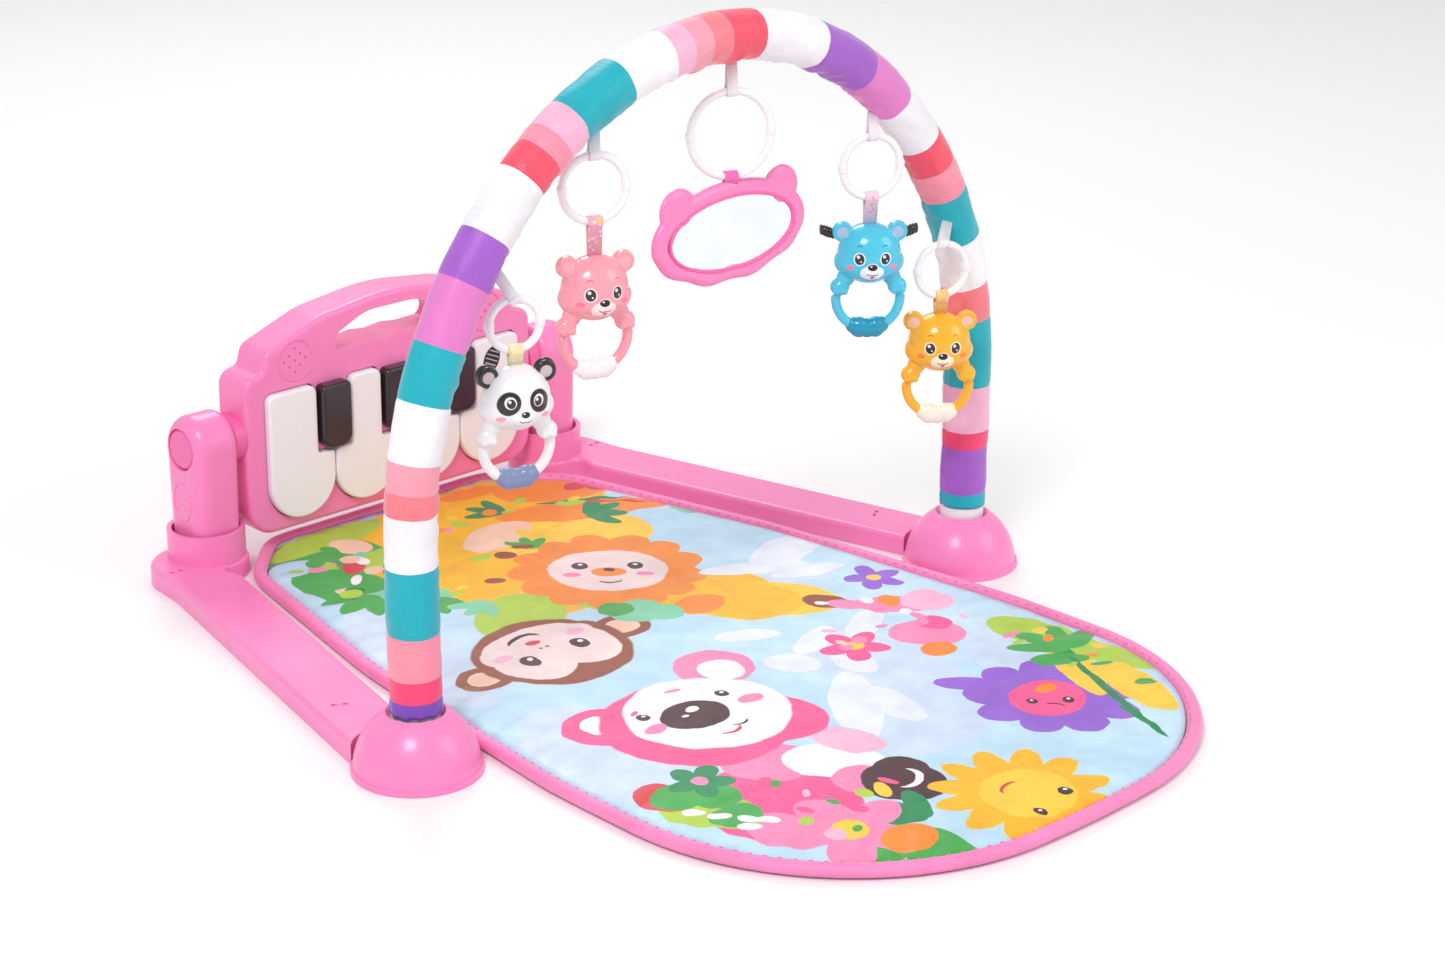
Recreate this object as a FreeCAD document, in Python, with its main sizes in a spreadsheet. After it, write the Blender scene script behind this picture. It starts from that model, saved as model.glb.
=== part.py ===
import FreeCAD, Part
import math
import os

import Sketcher

# Activity play gym: a padded mat between two splayed base arms, a tilting key board held by two
# posts, and a fabric covered arch with five hanging toys. Millimetres, +Z up, origin on the floor
# at the middle of the whole gym, +Y towards the key board, +X to the right seen from the mat's front.

V = FreeCAD.Vector
UP = V(0, 0, 1)
doc = FreeCAD.newDocument("play_gym")

SIZES = {
    "foot_half_span": 240.0, "foot_line": -22.0, "dome_radius": 39.5, "dome_rise": 37.5,
    "dome_wall": 2.5, "dome_lip": 3.0, "dome_mouth": 17.8, "socket_floor": 5.0,
    "leg_top": 143.7, "side_arc": 268.3, "top_arc": 224.3, "side_angle": 50.0,
    "sleeve_outer": 16.0, "sleeve_inner": 12.8, "tube_outer": 12.5, "tube_inner": 10.5,
    "cuff_outer": 15.0, "cuff_left_top": 36.0, "cuff_right_top": 48.0,
    "arm_outset": 33.0, "arm_inset": 13.0, "arm_rise": 14.0, "arm_splay": 79.0, "arm_run": 329.0,
    "arm_wall": 2.4, "arm_rear": 343.0, "collar_radius": 26.5, "collar_wall": 3.2, "collar_rise": 34.0,
    "post_x": 152.5, "post_y": 316.0, "post_deep": 44.0, "post_wide": 34.0, "post_foot": 6.0,
    "tilt_height": 92.0, "trunnion_radius": 12.0, "running_play": 0.05, "trunnion_reach": 17.0,
    "speaker_x": 84.0, "speaker_z": 140.0, "speaker_radius": 11.0, "plunger_radius": 4.0, "plunger_length": 7.6,
    "lock_radius": 14.0, "lock_play": 0.5, "lock_depth": 15.0,
    "board_front": 299.5, "board_half": 127.0, "board_bottom": 20.0, "board_top": 173.0,
    "front_deep": 20.0, "back_deep": 13.0, "shell_wall": 2.6, "board_round": 4.0,
    "handle_half": 50.0, "handle_low": 139.0, "handle_high": 162.0,
    "key_pitch": 55.5, "key_gap": 1.0, "key_low": 28.0, "key_high": 121.0, "key_proud": 5.0,
    "key_deep": 12.0, "key_play": 0.8, "notch_low": 71.0, "notch_half": 14.5,
    "black_half": 12.5, "black_low": 73.0, "black_high": 119.5, "black_proud": 9.0,
    "mat_front": -338.5, "mat_rear": 319.5, "mat_thick": 9.0, "mat_seam": 6.0,
    "binding_radius": 4.5, "binding_height": 5.2,
    "ring_wire": 2.5, "loop_inner": 3.4, "loop_thick": 0.8, "loop_wide": 7.0, "strap_wide": 9.0,
    "head_wide": 22.0, "head_deep": 17.0, "head_tall": 20.0, "ear_radius": 6.8, "paw_radius": 6.8,
    "grip_tall": 13.0, "bow_radius": 21.0, "bow_drop": 30.0, "bow_wire": 3.2,
    "mirror_half": 65.5, "mirror_tall": 28.5, "mirror_deep": 7.0, "plate_half": 52.0, "plate_tall": 22.5,
}


def make_sheet():
    """The driving dimensions, one aliased cell each."""
    sheet = doc.addObject("Spreadsheet::Sheet", "Sizes")
    for row, (word, value) in enumerate(SIZES.items(), start=1):
        sheet.set("A%d" % row, word)
        sheet.set("B%d" % row, str(value))
        sheet.setAlias("B%d" % row, word)
    doc.recompute()
    return sheet


sheet = make_sheet()


def size(word):
    return float(getattr(sheet, word))


def bound(obj, **expressions):
    """Bind properties of an object to the sheet; a double underscore stands for a dot."""
    for name, expression in expressions.items():
        words = expression
        for word in sorted(SIZES, key=len, reverse=True):
            words = words.replace("$" + word, "Sizes." + word)
        obj.setExpression(name.replace("__", "."), words)
    return obj


def primitive(kind, name, place=None, **expressions):
    obj = doc.addObject("Part::" + kind, name)
    if place:
        obj.Placement = place
    return bound(obj, **expressions)


def at(x, y, z, axis=UP, angle=0.0):
    return FreeCAD.Placement(V(x, y, z), FreeCAD.Rotation(axis, angle))


def fused(name, *shapes):
    joined = doc.addObject("Part::MultiFuse", name)
    joined.Shapes = list(shapes)
    joined.Label = name
    return joined


def cut(name, base, tool):
    obj = doc.addObject("Part::Cut", name)
    obj.Base = base
    obj.Tool = tool
    obj.Label = name
    return obj


def made(name, shape):
    """A sub-part whose shape has no parametric feature of its own."""
    obj = doc.addObject("Part::Feature", name)
    obj.Shape = shape
    obj.Label = name
    return obj


def body(name):
    obj = doc.addObject("PartDesign::Body", name)
    obj.Label = name
    return obj


def sketch(owner, role, name, offset=None):
    """A sketch on one of the body's own origin planes, moved along its normal by a bound offset."""
    drawing = owner.newObject("Sketcher::SketchObject", name)
    plane = [f for f in owner.Origin.OriginFeatures if f.Role == role][0]
    drawing.AttachmentSupport = [(plane, "")]
    drawing.MapMode = "FlatFace"
    if offset:
        bound(drawing, AttachmentOffset__Base__z=offset)
    return drawing


def draw(drawing, edges):
    """Add a wire's edges, each a line or an arc, to a sketch."""
    for edge in edges:
        drawing.addGeometry(edge, False)


def draw_circle(drawing, x, y, radius):
    """A circle whose radius is bound to the sheet."""
    index = drawing.addGeometry(Part.Circle(V(x, y, 0), UP, 1.0), False)
    count = drawing.addConstraint(Sketcher.Constraint("Radius", index, 1.0))
    bound(drawing, **{"Constraints[%d]" % count: radius})


def solid_feature(owner, kind, name, drawing, length, back=False):
    feature = owner.newObject("PartDesign::" + kind, name)
    feature.Profile = drawing
    feature.Reversed = back
    bound(feature, Length=length)
    drawing.Visibility = False
    if kind == "Pocket":
        doc.recompute()
        if feature.Shape.Volume > feature.BaseFeature.Shape.Volume - 1:
            raise RuntimeError(name + " cuts nothing")
    return feature


def rounded(corners):
    """Lines and arcs of a closed polygon whose corners (x, y, radius) are rounded."""
    count = len(corners)
    ends = []
    for i, (x, y, radius) in enumerate(corners):
        here = V(x, y, 0)
        before = (V(*corners[i - 1][:2], 0) - here).normalize()
        after = (V(*corners[(i + 1) % count][:2], 0) - here).normalize()
        half = before.getAngle(after) / 2
        reach = radius / math.tan(half)
        middle = (before + after).normalize() * (radius / math.sin(half) - radius)
        ends.append((here + before * reach, here + middle, here + after * reach))
    edges = []
    for i, (start, middle, end) in enumerate(ends):
        edges.append(Part.Arc(start, middle, end))
        follow = ends[(i + 1) % count][0]
        if end.distanceToPoint(follow) > 0.01:
            edges.append(Part.LineSegment(end, follow))
    return edges


def round_edges(owner, name, feature, radius, chosen):
    """Fillet the edges of a feature for which chosen(edge) is true."""
    doc.recompute()
    names = ["Edge%d" % (i + 1) for i, edge in enumerate(feature.Shape.Edges) if chosen(edge)]
    fillet = owner.newObject("PartDesign::Fillet", name)
    fillet.Base = (feature, names)
    bound(fillet, Radius=radius)
    return fillet


# Base: arms, dome feet and posts

def arm_edge(outset, y):
    """Distance of an arm's edge from the middle plane at a given y."""
    shift = size("arm_splay") * (y - size("foot_line")) / size("arm_run")
    return size("foot_half_span") + outset - shift


def arm_corners(side, inset):
    """Outline of one arm, with the lobe that carries the post's collar at the rear."""
    front = size("foot_line") + (size("dome_radius") + inset if inset else 14)
    rear = size("arm_rear") - inset
    outer = size("arm_outset") - inset
    inner = -size("arm_inset") + inset
    post = size("post_x")
    hug = size("collar_radius") + 1.5 - inset
    corners = [
        (arm_edge(outer, front), front, 3),
        (arm_edge(outer, 284), 284, 70),
        (post + 41 - inset, rear - 3, 34 - inset),
        (post - hug, rear, 26 - inset),
        (post - hug, size("post_y") - hug, 26 - inset),
        (post + 9, size("post_y") - hug, 8),
        (arm_edge(inner, 268), 268, 14),
        (arm_edge(inner, front), front, 3),
    ]
    return [(side * x, y, radius) for x, y, radius in corners]


def collar_oval(drawing, side, radius):
    draw_circle(drawing, side * size("post_x"), size("post_y") - 1, radius)


def base_arm(name, side):
    """Hollow arm, open below, with the collar that holds the post."""
    arm = body(name)
    plan = sketch(arm, "XY_Plane", name + "_plan")
    draw(plan, rounded(arm_corners(side, 0)))
    plate = solid_feature(arm, "Pad", name + "_plate", plan, "$arm_rise")
    top = size("arm_rise")
    round_edges(arm, name + "_soft_top", plate, "3.5",
                lambda edge: abs(edge.BoundBox.ZMin - top) < 0.01)
    under = sketch(arm, "XY_Plane", name + "_under")
    draw(under, rounded(arm_corners(side, size("arm_wall"))))
    solid_feature(arm, "Pocket", name + "_hollow", under, "$arm_rise - $arm_wall", True)
    ring = sketch(arm, "XY_Plane", name + "_collar_plan")
    collar_oval(ring, side, "$collar_radius")
    solid_feature(arm, "Pad", name + "_collar", ring, "$collar_rise")
    well = sketch(arm, "XY_Plane", name + "_well_plan", "$post_foot")
    collar_oval(well, side, "$collar_radius - $collar_wall")
    solid_feature(arm, "Pocket", name + "_well", well, "$collar_rise", True)
    for word, radius, deep in (("head", "4.3", "3.2"), ("hole", "2.1", "$post_foot + 1")):
        seat = sketch(arm, "XY_Plane", name + "_screw_" + word)
        collar_oval(seat, side, radius)
        solid_feature(arm, "Pocket", name + "_screw_" + word + "_cut", seat, deep, True)
    mouth = sketch(arm, "XY_Plane", name + "_mouth")
    draw_circle(mouth, side * size("foot_half_span"), size("foot_line"), "$dome_radius + 0.2")
    solid_feature(arm, "Pocket", name + "_dome_seat", mouth, "$arm_rise", True)
    return arm


def dome_foot(name, side):
    """Dome with a thin lip and the socket that the arch is pushed into."""
    foot = body(name)
    half = sketch(foot, "XZ_Plane", name + "_half")
    edge = size("dome_radius")
    wall = size("dome_wall")
    lip = size("dome_lip")
    mouth = size("dome_mouth")
    top = size("dome_rise")
    outer = edge - 1.5
    swell = V(outer * 0.86, lip + (top - lip) * 0.56, 0)
    inner_swell = V(outer * 0.86 - wall, lip + (top - lip) * 0.56 - wall, 0)
    sleeve = mouth - 2.6
    floor = size("socket_floor")
    points = [V(edge, 0, 0), V(edge, lip, 0), V(outer, lip + 0.6, 0)]
    edges = [Part.LineSegment(points[0], points[1]), Part.LineSegment(points[1], points[2])]
    edges.append(Part.Arc(points[2], swell, V(mouth, top, 0)))
    inside = [V(mouth, top, 0), V(sleeve, top - 4, 0), V(sleeve, floor, 0), V(0, floor, 0), V(0, floor - wall, 0),
              V(mouth, floor - wall, 0), V(mouth, top - 7, 0)]
    edges += [Part.LineSegment(inside[i], inside[i + 1]) for i in range(len(inside) - 1)]
    edges.append(Part.Arc(inside[-1], inner_swell, V(outer - wall, 0, 0)))
    edges.append(Part.LineSegment(V(outer - wall, 0, 0), points[0]))
    draw(half, edges)
    turn = foot.newObject("PartDesign::Revolution", name + "_turn")
    turn.Profile = half
    turn.ReferenceAxis = (half, ["V_Axis"])
    turn.Angle = 360
    half.Visibility = False
    foot.Placement = at(side * size("foot_half_span"), size("foot_line"), 0)
    return foot


def post(name, side):
    """Upright with a round head, a bore for the board's trunnion and a recess for the lock button."""
    column = body(name)
    outline = sketch(column, "YZ_Plane", name + "_side", "%g * ($post_x - $post_wide / 2)" % side)
    low = size("post_foot")
    high = size("tilt_height")
    half = size("post_deep") / 2
    middle = size("post_y")
    crown = V(middle, high + half, 0)
    draw(outline, [
        Part.LineSegment(V(middle - half + 2.5, low, 0), V(middle - half, high, 0)),
        Part.Arc(V(middle - half, high, 0), crown, V(middle + half, high, 0)),
        Part.LineSegment(V(middle + half, high, 0), V(middle + half - 2.5, low, 0)),
        Part.LineSegment(V(middle + half - 2.5, low, 0), V(middle - half + 2.5, low, 0)),
    ])
    stem = solid_feature(column, "Pad", name + "_stem", outline, "$post_wide", side < 0)
    face = side * (size("post_x") + size("post_wide") / 2)
    inner = side * (size("post_x") - size("post_wide") / 2)

    def outer_rim(edge):
        box = edge.BoundBox
        return abs(box.XMin - face) < 0.01 and box.XLength < 0.01 and box.ZMax > low + 1

    def inner_rim(edge):
        box = edge.BoundBox
        return abs(box.XMin - inner) < 0.01 and box.XLength < 0.01 and box.ZMax > low + 1

    soft = round_edges(column, name + "_outer_round", stem, "12", outer_rim)
    soft = round_edges(column, name + "_inner_round", soft, "7", inner_rim)
    foot = sketch(column, "XY_Plane", name + "_foot_ring", "$post_foot - 1")
    draw_circle(foot, side * size("post_x"), middle - 1, "60")
    draw_circle(foot, side * size("post_x"), middle - 1, "$collar_radius - $collar_wall - 0.4")
    solid_feature(column, "Pocket", name + "_foot_turned", foot, "$collar_rise - $post_foot + 1", True)
    core = sketch(column, "XY_Plane", name + "_core", "$post_foot - 1")
    draw_circle(core, side * size("post_x"), middle - 1, "16")
    draw_circle(core, side * size("post_x"), middle - 1, "5")
    solid_feature(column, "Pocket", name + "_core_cut", core, "64", True)
    thread = sketch(column, "XY_Plane", name + "_thread", "$post_foot - 1")
    draw_circle(thread, side * size("post_x"), middle - 1, "1.95")
    solid_feature(column, "Pocket", name + "_thread_cut", thread, "16", True)
    bore = sketch(column, "YZ_Plane", name + "_bore", "%g * ($post_x - $post_wide / 2)" % side)
    draw_circle(bore, middle, high, "$trunnion_radius + $running_play")
    solid_feature(column, "Pocket", name + "_bore_cut", bore, "$trunnion_reach + 0.6", side > 0)
    recess = sketch(column, "YZ_Plane", name + "_recess", "%g * ($post_x + $post_wide / 2)" % side)
    draw_circle(recess, middle, high, "$lock_radius + $lock_play")
    solid_feature(column, "Pocket", name + "_recess_cut", recess, "$lock_depth", side < 0)
    return column


def lock_button(name, side):
    """Round release button that sits in the post's recess over its spring."""
    depth = size("lock_depth")
    length = depth - 5
    button = primitive("Cylinder", name + "_disc", Radius="$lock_radius", Height=str(length))
    button.Placement = FreeCAD.Placement(V(0, 0, 0), FreeCAD.Rotation(V(0, 1, 0), 90 * side))
    dished = doc.addObject("Part::Chamfer", name)
    doc.recompute()
    dished.Base = button
    far = side * length
    rim = [i + 1 for i, e in enumerate(button.Shape.Edges) if abs(e.BoundBox.XMin - far) < 0.1
           and abs(e.BoundBox.XMax - far) < 0.1]
    dished.Edges = [(rim[0], 1.5, 1.5)]
    cup = primitive("Cylinder", name + "_cup", Radius="7", Height="7")
    cup.Placement = button.Placement
    dished.Label = name + "_rounded"
    whole = cut(name + "_cupped", dished, cup)
    whole.Label = name
    start = size("post_x") + size("post_wide") / 2 - length - 1
    whole.Placement = at(side * start, size("post_y"), size("tilt_height"))
    return whole


def lock_springs():
    """Coil springs behind the two lock buttons, each as its closed outer sleeve."""
    coils = []
    for side in (-1, 1):
        outer = size("post_x") + size("post_wide") / 2
        start = outer - size("lock_depth") + 0.05
        ring = Part.makeCylinder(6, 8, V(side * start, size("post_y"), size("tilt_height")), V(side, 0, 0))
        core = Part.makeCylinder(4.6, 8, V(side * start, size("post_y"), size("tilt_height")), V(side, 0, 0))
        coils.append(ring.cut(core))
    return made("lock_springs", Part.makeCompound(coils))


def post_screws():
    """One screw up through each collar's floor into the post."""
    screws = []
    for side in (-1, 1):
        place = V(side * size("post_x"), size("post_y") - 1, 0.4)
        head = Part.makeCylinder(4, 2.6, place)
        screws.append(head.fuse(Part.makeCylinder(1.9, 19, place)).removeSplitter())
    return made("post_screws", Part.makeCompound(screws))


# Arch: tubes, cuffs, fabric sleeve

def arch_span(name, radius, top=False, side=1, low="$socket_floor + 0.2"):
    """Leg and side arc, or the top arc, as a solid rod of the given radius along the arch's middle line."""
    foot = size("foot_half_span")
    line = size("foot_line")
    knee = size("leg_top")
    turn = size("side_angle")
    offset = foot - size("side_arc")
    crown = knee + (size("side_arc") - size("top_arc")) * math.sin(math.radians(turn))
    if top:
        bend = primitive("Torus", name, Radius1="$top_arc", Radius2=radius, Angle3="180 - 2 * $side_angle")
        lay = FreeCAD.Rotation(V(1, 0, 0), 90)
        bend.Placement = FreeCAD.Placement(V(0, line, crown), lay.multiply(FreeCAD.Rotation(UP, turn)))
        return bend
    bend = primitive("Torus", name + "_bend", Radius1="$side_arc", Radius2=radius, Angle3="$side_angle")
    lay = FreeCAD.Rotation(V(1, 0, 0), 90)
    start = 0 if side > 0 else 180 - turn
    bend.Placement = FreeCAD.Placement(V(side * offset, line, knee), lay.multiply(FreeCAD.Rotation(UP, start)))
    leg = primitive("Cylinder", name + "_leg", Radius=radius, Height="$leg_top - (%s)" % low)
    bound(leg, Placement__Base__z=low)
    leg.Placement.Base = V(side * foot, line, 0)
    return fused(name, leg, bend)


def arch_tubes():
    for name, top, side in (("arch_tube_left", False, -1), ("arch_tube_top", True, 1), ("arch_tube_right", False, 1)):
        skin = arch_span(name + "_skin", "$tube_outer", top, side)
        core = arch_span(name + "_core", "$tube_inner", top, side)
        cut(name, skin, core)
    return ["arch_tube_left", "arch_tube_top", "arch_tube_right"]


def tube_cuffs():
    cuffs = []
    for side, top in ((-1, size("cuff_left_top")), (1, size("cuff_right_top"))):
        place = V(side * size("foot_half_span"), size("foot_line"), size("socket_floor") + 0.4)
        tall = top - place.z
        cuffs.append(Part.makeCylinder(size("cuff_outer"), tall, place).cut(
            Part.makeCylinder(size("tube_outer") + 0.05, tall, place)))
    return made("tube_cuffs", Part.makeCompound(cuffs))


def arch_sleeve():
    """Fabric cover over the whole arch, from the left socket's mouth to the right cuff."""
    spans = []
    for word, top, side, low in (("left", False, -1, "$cuff_left_top + 1.9"), ("top", True, 1, "0"),
                                 ("right", False, 1, "$cuff_right_top + 0.5")):
        outer = arch_span("sleeve_outer_" + word, "$sleeve_outer", top, side, low)
        inner = arch_span("sleeve_inner_" + word, "$sleeve_inner", top, side, low)
        spans.append(cut("sleeve_" + word, outer, inner))
    return fused("arch_sleeve", *spans)


# Mat

def mat_corners(inset):
    """Outline of the mat: a narrow straight rear, swelling sides and a round front."""
    front = size("mat_front") + inset
    rear = size("mat_rear") - inset
    right = [(98 - inset / 2, rear, 16), (141 - inset, 272, 30), (180 - inset, 100, 400), (203 - inset, -100, 300),
             (205 - inset, front + 7, 158)]
    left = [(-x, y, radius) for x, y, radius in reversed(right)]
    return right + [(0, front, 600)] + left


def mat_pad():
    pad = body("mat_pad")
    plan = sketch(pad, "XY_Plane", "mat_plan")
    draw(plan, rounded(mat_corners(size("mat_seam"))))
    slab = solid_feature(pad, "Pad", "mat_slab", plan, "$mat_thick")
    round_edges(pad, "mat_soft", slab, "2", lambda edge: edge.BoundBox.ZLength < 0.01)
    return pad


def mat_binding():
    """Fabric binding sewn round the mat's edge, a closed roll along its outline."""
    height = size("binding_height")
    edges = [geometry.toShape() for geometry in rounded(mat_corners(0))]
    path = Part.Wire(Part.__sortEdges__(edges))
    path.translate(V(0, 0, height))
    start = path.Edges[0]
    at_start = start.valueAt(start.FirstParameter)
    along = start.tangentAt(start.FirstParameter)
    roll = Part.Wire(Part.makeCircle(size("binding_radius"), at_start, along))
    return made("mat_binding", path.makePipeShell([roll], True, False, 1))


# Key board

def board_corners(inset):
    half = size("board_half") - inset
    low = size("board_bottom") + inset
    top = size("board_top") - inset
    right = [(half - 3, low, 20), (half, 62, 300), (half - 1, 133, 10), (half - 16, 137, 5),
             (half - 20, 150, 9), (half - 42, 158, 7), (60, 167, 60)]
    left = [(-x, z, radius) for x, z, radius in reversed(right)]
    return right + [(0, top + 1.5, 160)] + left


def key_corners(index, grow):
    """Outline of one white key; grow enlarges it for the opening in the front shell."""
    half = (size("key_pitch") - size("key_gap")) / 2 + grow
    narrow = size("key_pitch") / 2 - size("notch_half") + grow
    middle = (index - 1.5) * size("key_pitch")
    low = size("key_low") - grow
    high = size("key_high") + grow
    step = size("notch_low") + grow
    right = half if index == 3 else narrow
    left = half if index == 0 else narrow
    bottom = half - 0.6
    corners = [(half, low, bottom)]
    if index < 3:
        corners += [(half, step, 3), (right, step, 3)]
    corners += [(right, high, 6), (-left, high, 6)]
    if index > 0:
        corners += [(-left, step, 3), (-half, step, 3)]
    corners.append((-half, low, bottom))
    return [(middle + x, z, radius) for x, z, radius in corners]


def front_face(edge):
    box = edge.BoundBox
    return abs(box.YMin - size("board_front")) < 0.01 and box.YLength < 0.01


def piano_front_shell():
    shell = body("piano_front_shell")
    outline = sketch(shell, "XZ_Plane", "front_outline", "-$board_front")
    draw(outline, rounded(board_corners(0)))
    block = solid_feature(shell, "Pad", "front_block", outline, "$front_deep", True)
    round_edges(shell, "front_soft", block, "$board_round", front_face)
    room = sketch(shell, "XZ_Plane", "front_room", "-$board_front - $front_deep")
    wall = size("shell_wall")
    half = size("board_half") - wall
    draw(room, rounded([(half - 3, size("board_bottom") + wall, 17), (half - 3, 128, 10), (3 - half, 128, 10),
                        (3 - half, size("board_bottom") + wall, 17)]))
    solid_feature(shell, "Pocket", "front_room_cut", room, "$front_deep - $shell_wall", True)
    well = sketch(shell, "XZ_Plane", "speaker_well", "-$board_front - $front_deep")
    draw_circle(well, size("speaker_x"), size("speaker_z"), "$speaker_radius + 1")
    solid_feature(shell, "Pocket", "speaker_well_cut", well, "$front_deep - 4", True)
    handle_hole(shell, "front", "-$board_front", "$front_deep")
    for index in range(4):
        window = sketch(shell, "XZ_Plane", "key_window_%d" % (index + 1), "-$board_front")
        draw(window, rounded(key_corners(index, size("key_play"))))
        solid_feature(shell, "Pocket", "key_cut_%d" % (index + 1), window, "$front_deep", False)
    return shell


def handle_hole(shell, word, plane, deep):
    """Carrying slot with an arched top and a lower rim with finger dips."""
    slot = sketch(shell, "XZ_Plane", word + "_slot", plane)
    half = size("handle_half")
    low = size("handle_low")
    high = size("handle_high")
    draw(slot, rounded([(half, low, 7), (half, low + 12, 8), (half * 0.45, high + 1, 40), (-half * 0.45, high + 1, 40),
                        (-half, low + 12, 8), (-half, low, 7), (-28, low - 0.8, 10), (-14, low + 0.8, 10),
                        (0, low - 0.8, 10), (14, low + 0.8, 10), (28, low - 0.8, 10)]))
    solid_feature(shell, "Pocket", word + "_slot_cut", slot, deep, False)


def piano_back_shell():
    shell = body("piano_back_shell")
    plane = "-$board_front - $front_deep"
    outline = sketch(shell, "XZ_Plane", "back_outline", plane)
    draw(outline, rounded(board_corners(0)))
    block = solid_feature(shell, "Pad", "back_block", outline, "$back_deep", True)
    rear = size("board_front") + size("front_deep") + size("back_deep")
    round_edges(shell, "back_soft", block, "$board_round",
                lambda edge: abs(edge.BoundBox.YMin - rear) < 0.01 and edge.BoundBox.YLength < 0.01)
    room = sketch(shell, "XZ_Plane", "back_room", plane)
    wall = size("shell_wall")
    half = size("board_half") - wall
    draw(room, rounded([(half - 3, size("board_bottom") + wall, 17), (half - 3, 128, 10), (3 - half, 128, 10),
                        (3 - half, size("board_bottom") + wall, 17)]))
    solid_feature(shell, "Pocket", "back_room_cut", room, "$back_deep - $shell_wall", False)
    handle_hole(shell, "back", plane, "$back_deep")
    hatch = sketch(shell, "XZ_Plane", "hatch_opening", plane)
    draw(hatch, rounded([(34, 34, 3), (34, 72, 3), (-34, 72, 3), (-34, 34, 3)]))
    solid_feature(shell, "Pocket", "hatch_cut", hatch, "$back_deep", False)
    gate = sketch(shell, "XZ_Plane", "switch_opening", plane)
    draw(gate, rounded([(79, 94, 1), (79, 101, 1), (61, 101, 1), (61, 94, 1)]))
    solid_feature(shell, "Pocket", "switch_cut", gate, "$back_deep", False)
    return shell


def battery_cover():
    cover = body("battery_cover")
    plan = sketch(cover, "XZ_Plane", "cover_plan", "-$board_front - $front_deep - $back_deep + $shell_wall")
    draw(plan, rounded([(33.7, 34.3, 3), (33.7, 71.7, 3), (-33.7, 71.7, 3), (-33.7, 34.3, 3)]))
    solid_feature(cover, "Pad", "cover_panel", plan, "$shell_wall", True)
    return cover


def power_switch():
    """Sliding switch; its finger pad stands out of the back, its foot runs inside."""
    rear = size("board_front") + size("front_deep") + size("back_deep")
    slider = body("power_switch")
    knob = sketch(slider, "XZ_Plane", "switch_knob", "-$board_front - $front_deep - $back_deep + $shell_wall")
    draw(knob, rounded([(71, 94.4, 1), (71, 100.6, 1), (62, 100.6, 1), (62, 94.4, 1)]))
    solid_feature(slider, "Pad", "switch_knob_pad", knob, "$shell_wall + 1.5", True)
    foot = sketch(slider, "XZ_Plane", "switch_foot", "-$board_front - $front_deep - $back_deep + $shell_wall + 2.4")
    draw(foot, rounded([(73, 93, 1), (73, 102, 1), (60, 102, 1), (60, 93, 1)]))
    solid_feature(slider, "Pad", "switch_foot_pad", foot, "2", True)
    join = sketch(slider, "XZ_Plane", "switch_neck", "-$board_front - $front_deep - $back_deep + $shell_wall + 0.5")
    draw(join, rounded([(71, 94.4, 1), (71, 100.6, 1), (62, 100.6, 1), (62, 94.4, 1)]))
    solid_feature(slider, "Pad", "switch_neck_pad", join, "1", True)
    if rear < size("board_front"):
        raise RuntimeError("the back lies in front of the front")
    return slider


def white_key(index):
    """White key: a crowned cap in its window with a wider skirt that its stop ribs hold."""
    name = "white_key_%d" % (index + 1)
    key = body(name)
    plan = sketch(key, "XZ_Plane", name + "_plan", "-$board_front + $key_proud")
    draw(plan, rounded(key_corners(index, 0)))
    cap = solid_feature(key, "Pad", name + "_cap", plan, "$key_deep", True)
    front = size("board_front") - size("key_proud")
    round_edges(key, name + "_crown", cap, "2",
                lambda edge: abs(edge.BoundBox.YMin - front) < 0.01 and edge.BoundBox.YLength < 0.01)
    stub = sketch(key, "XZ_Plane", name + "_stub", "-$board_front + $key_proud - $key_deep")
    draw_circle(stub, (index - 1.5) * size("key_pitch"), 91, "$plunger_radius")
    solid_feature(key, "Pad", name + "_plunger", stub, "$plunger_length", True)
    return key


def black_keys():
    """Three raised black keys, moulded as fixed blocks on ribs between the windows."""
    keys = []
    front = size("board_front")
    half = size("black_half")
    for middle in (-1, 0, 1):
        x = middle * size("key_pitch")
        shape = [(x + half, size("black_low"), 9), (x + half, size("black_high"), 4),
                 (x - half, size("black_high"), 4), (x - half, size("black_low"), 9)]
        wire = Part.Wire([geometry.toShape() for geometry in rounded(shape)])
        block = Part.Face(wire).extrude(V(0, 0, size("black_proud")))
        block = block.makeFillet(2.5, [e for e in block.Edges if e.BoundBox.ZMin > size("black_proud") - 0.01])
        block.rotate(V(0, 0, 0), V(1, 0, 0), 90)
        block.translate(V(0, front, 0))
        keys.append(block)
    return made("black_keys", Part.makeCompound(keys))


def box_between(name, low, high):
    block = primitive("Box", name)
    block.Length = high[0] - low[0]
    block.Width = high[1] - low[1]
    block.Height = high[2] - low[2]
    block.Placement = at(*low)
    block.Label = name
    return block


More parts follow.
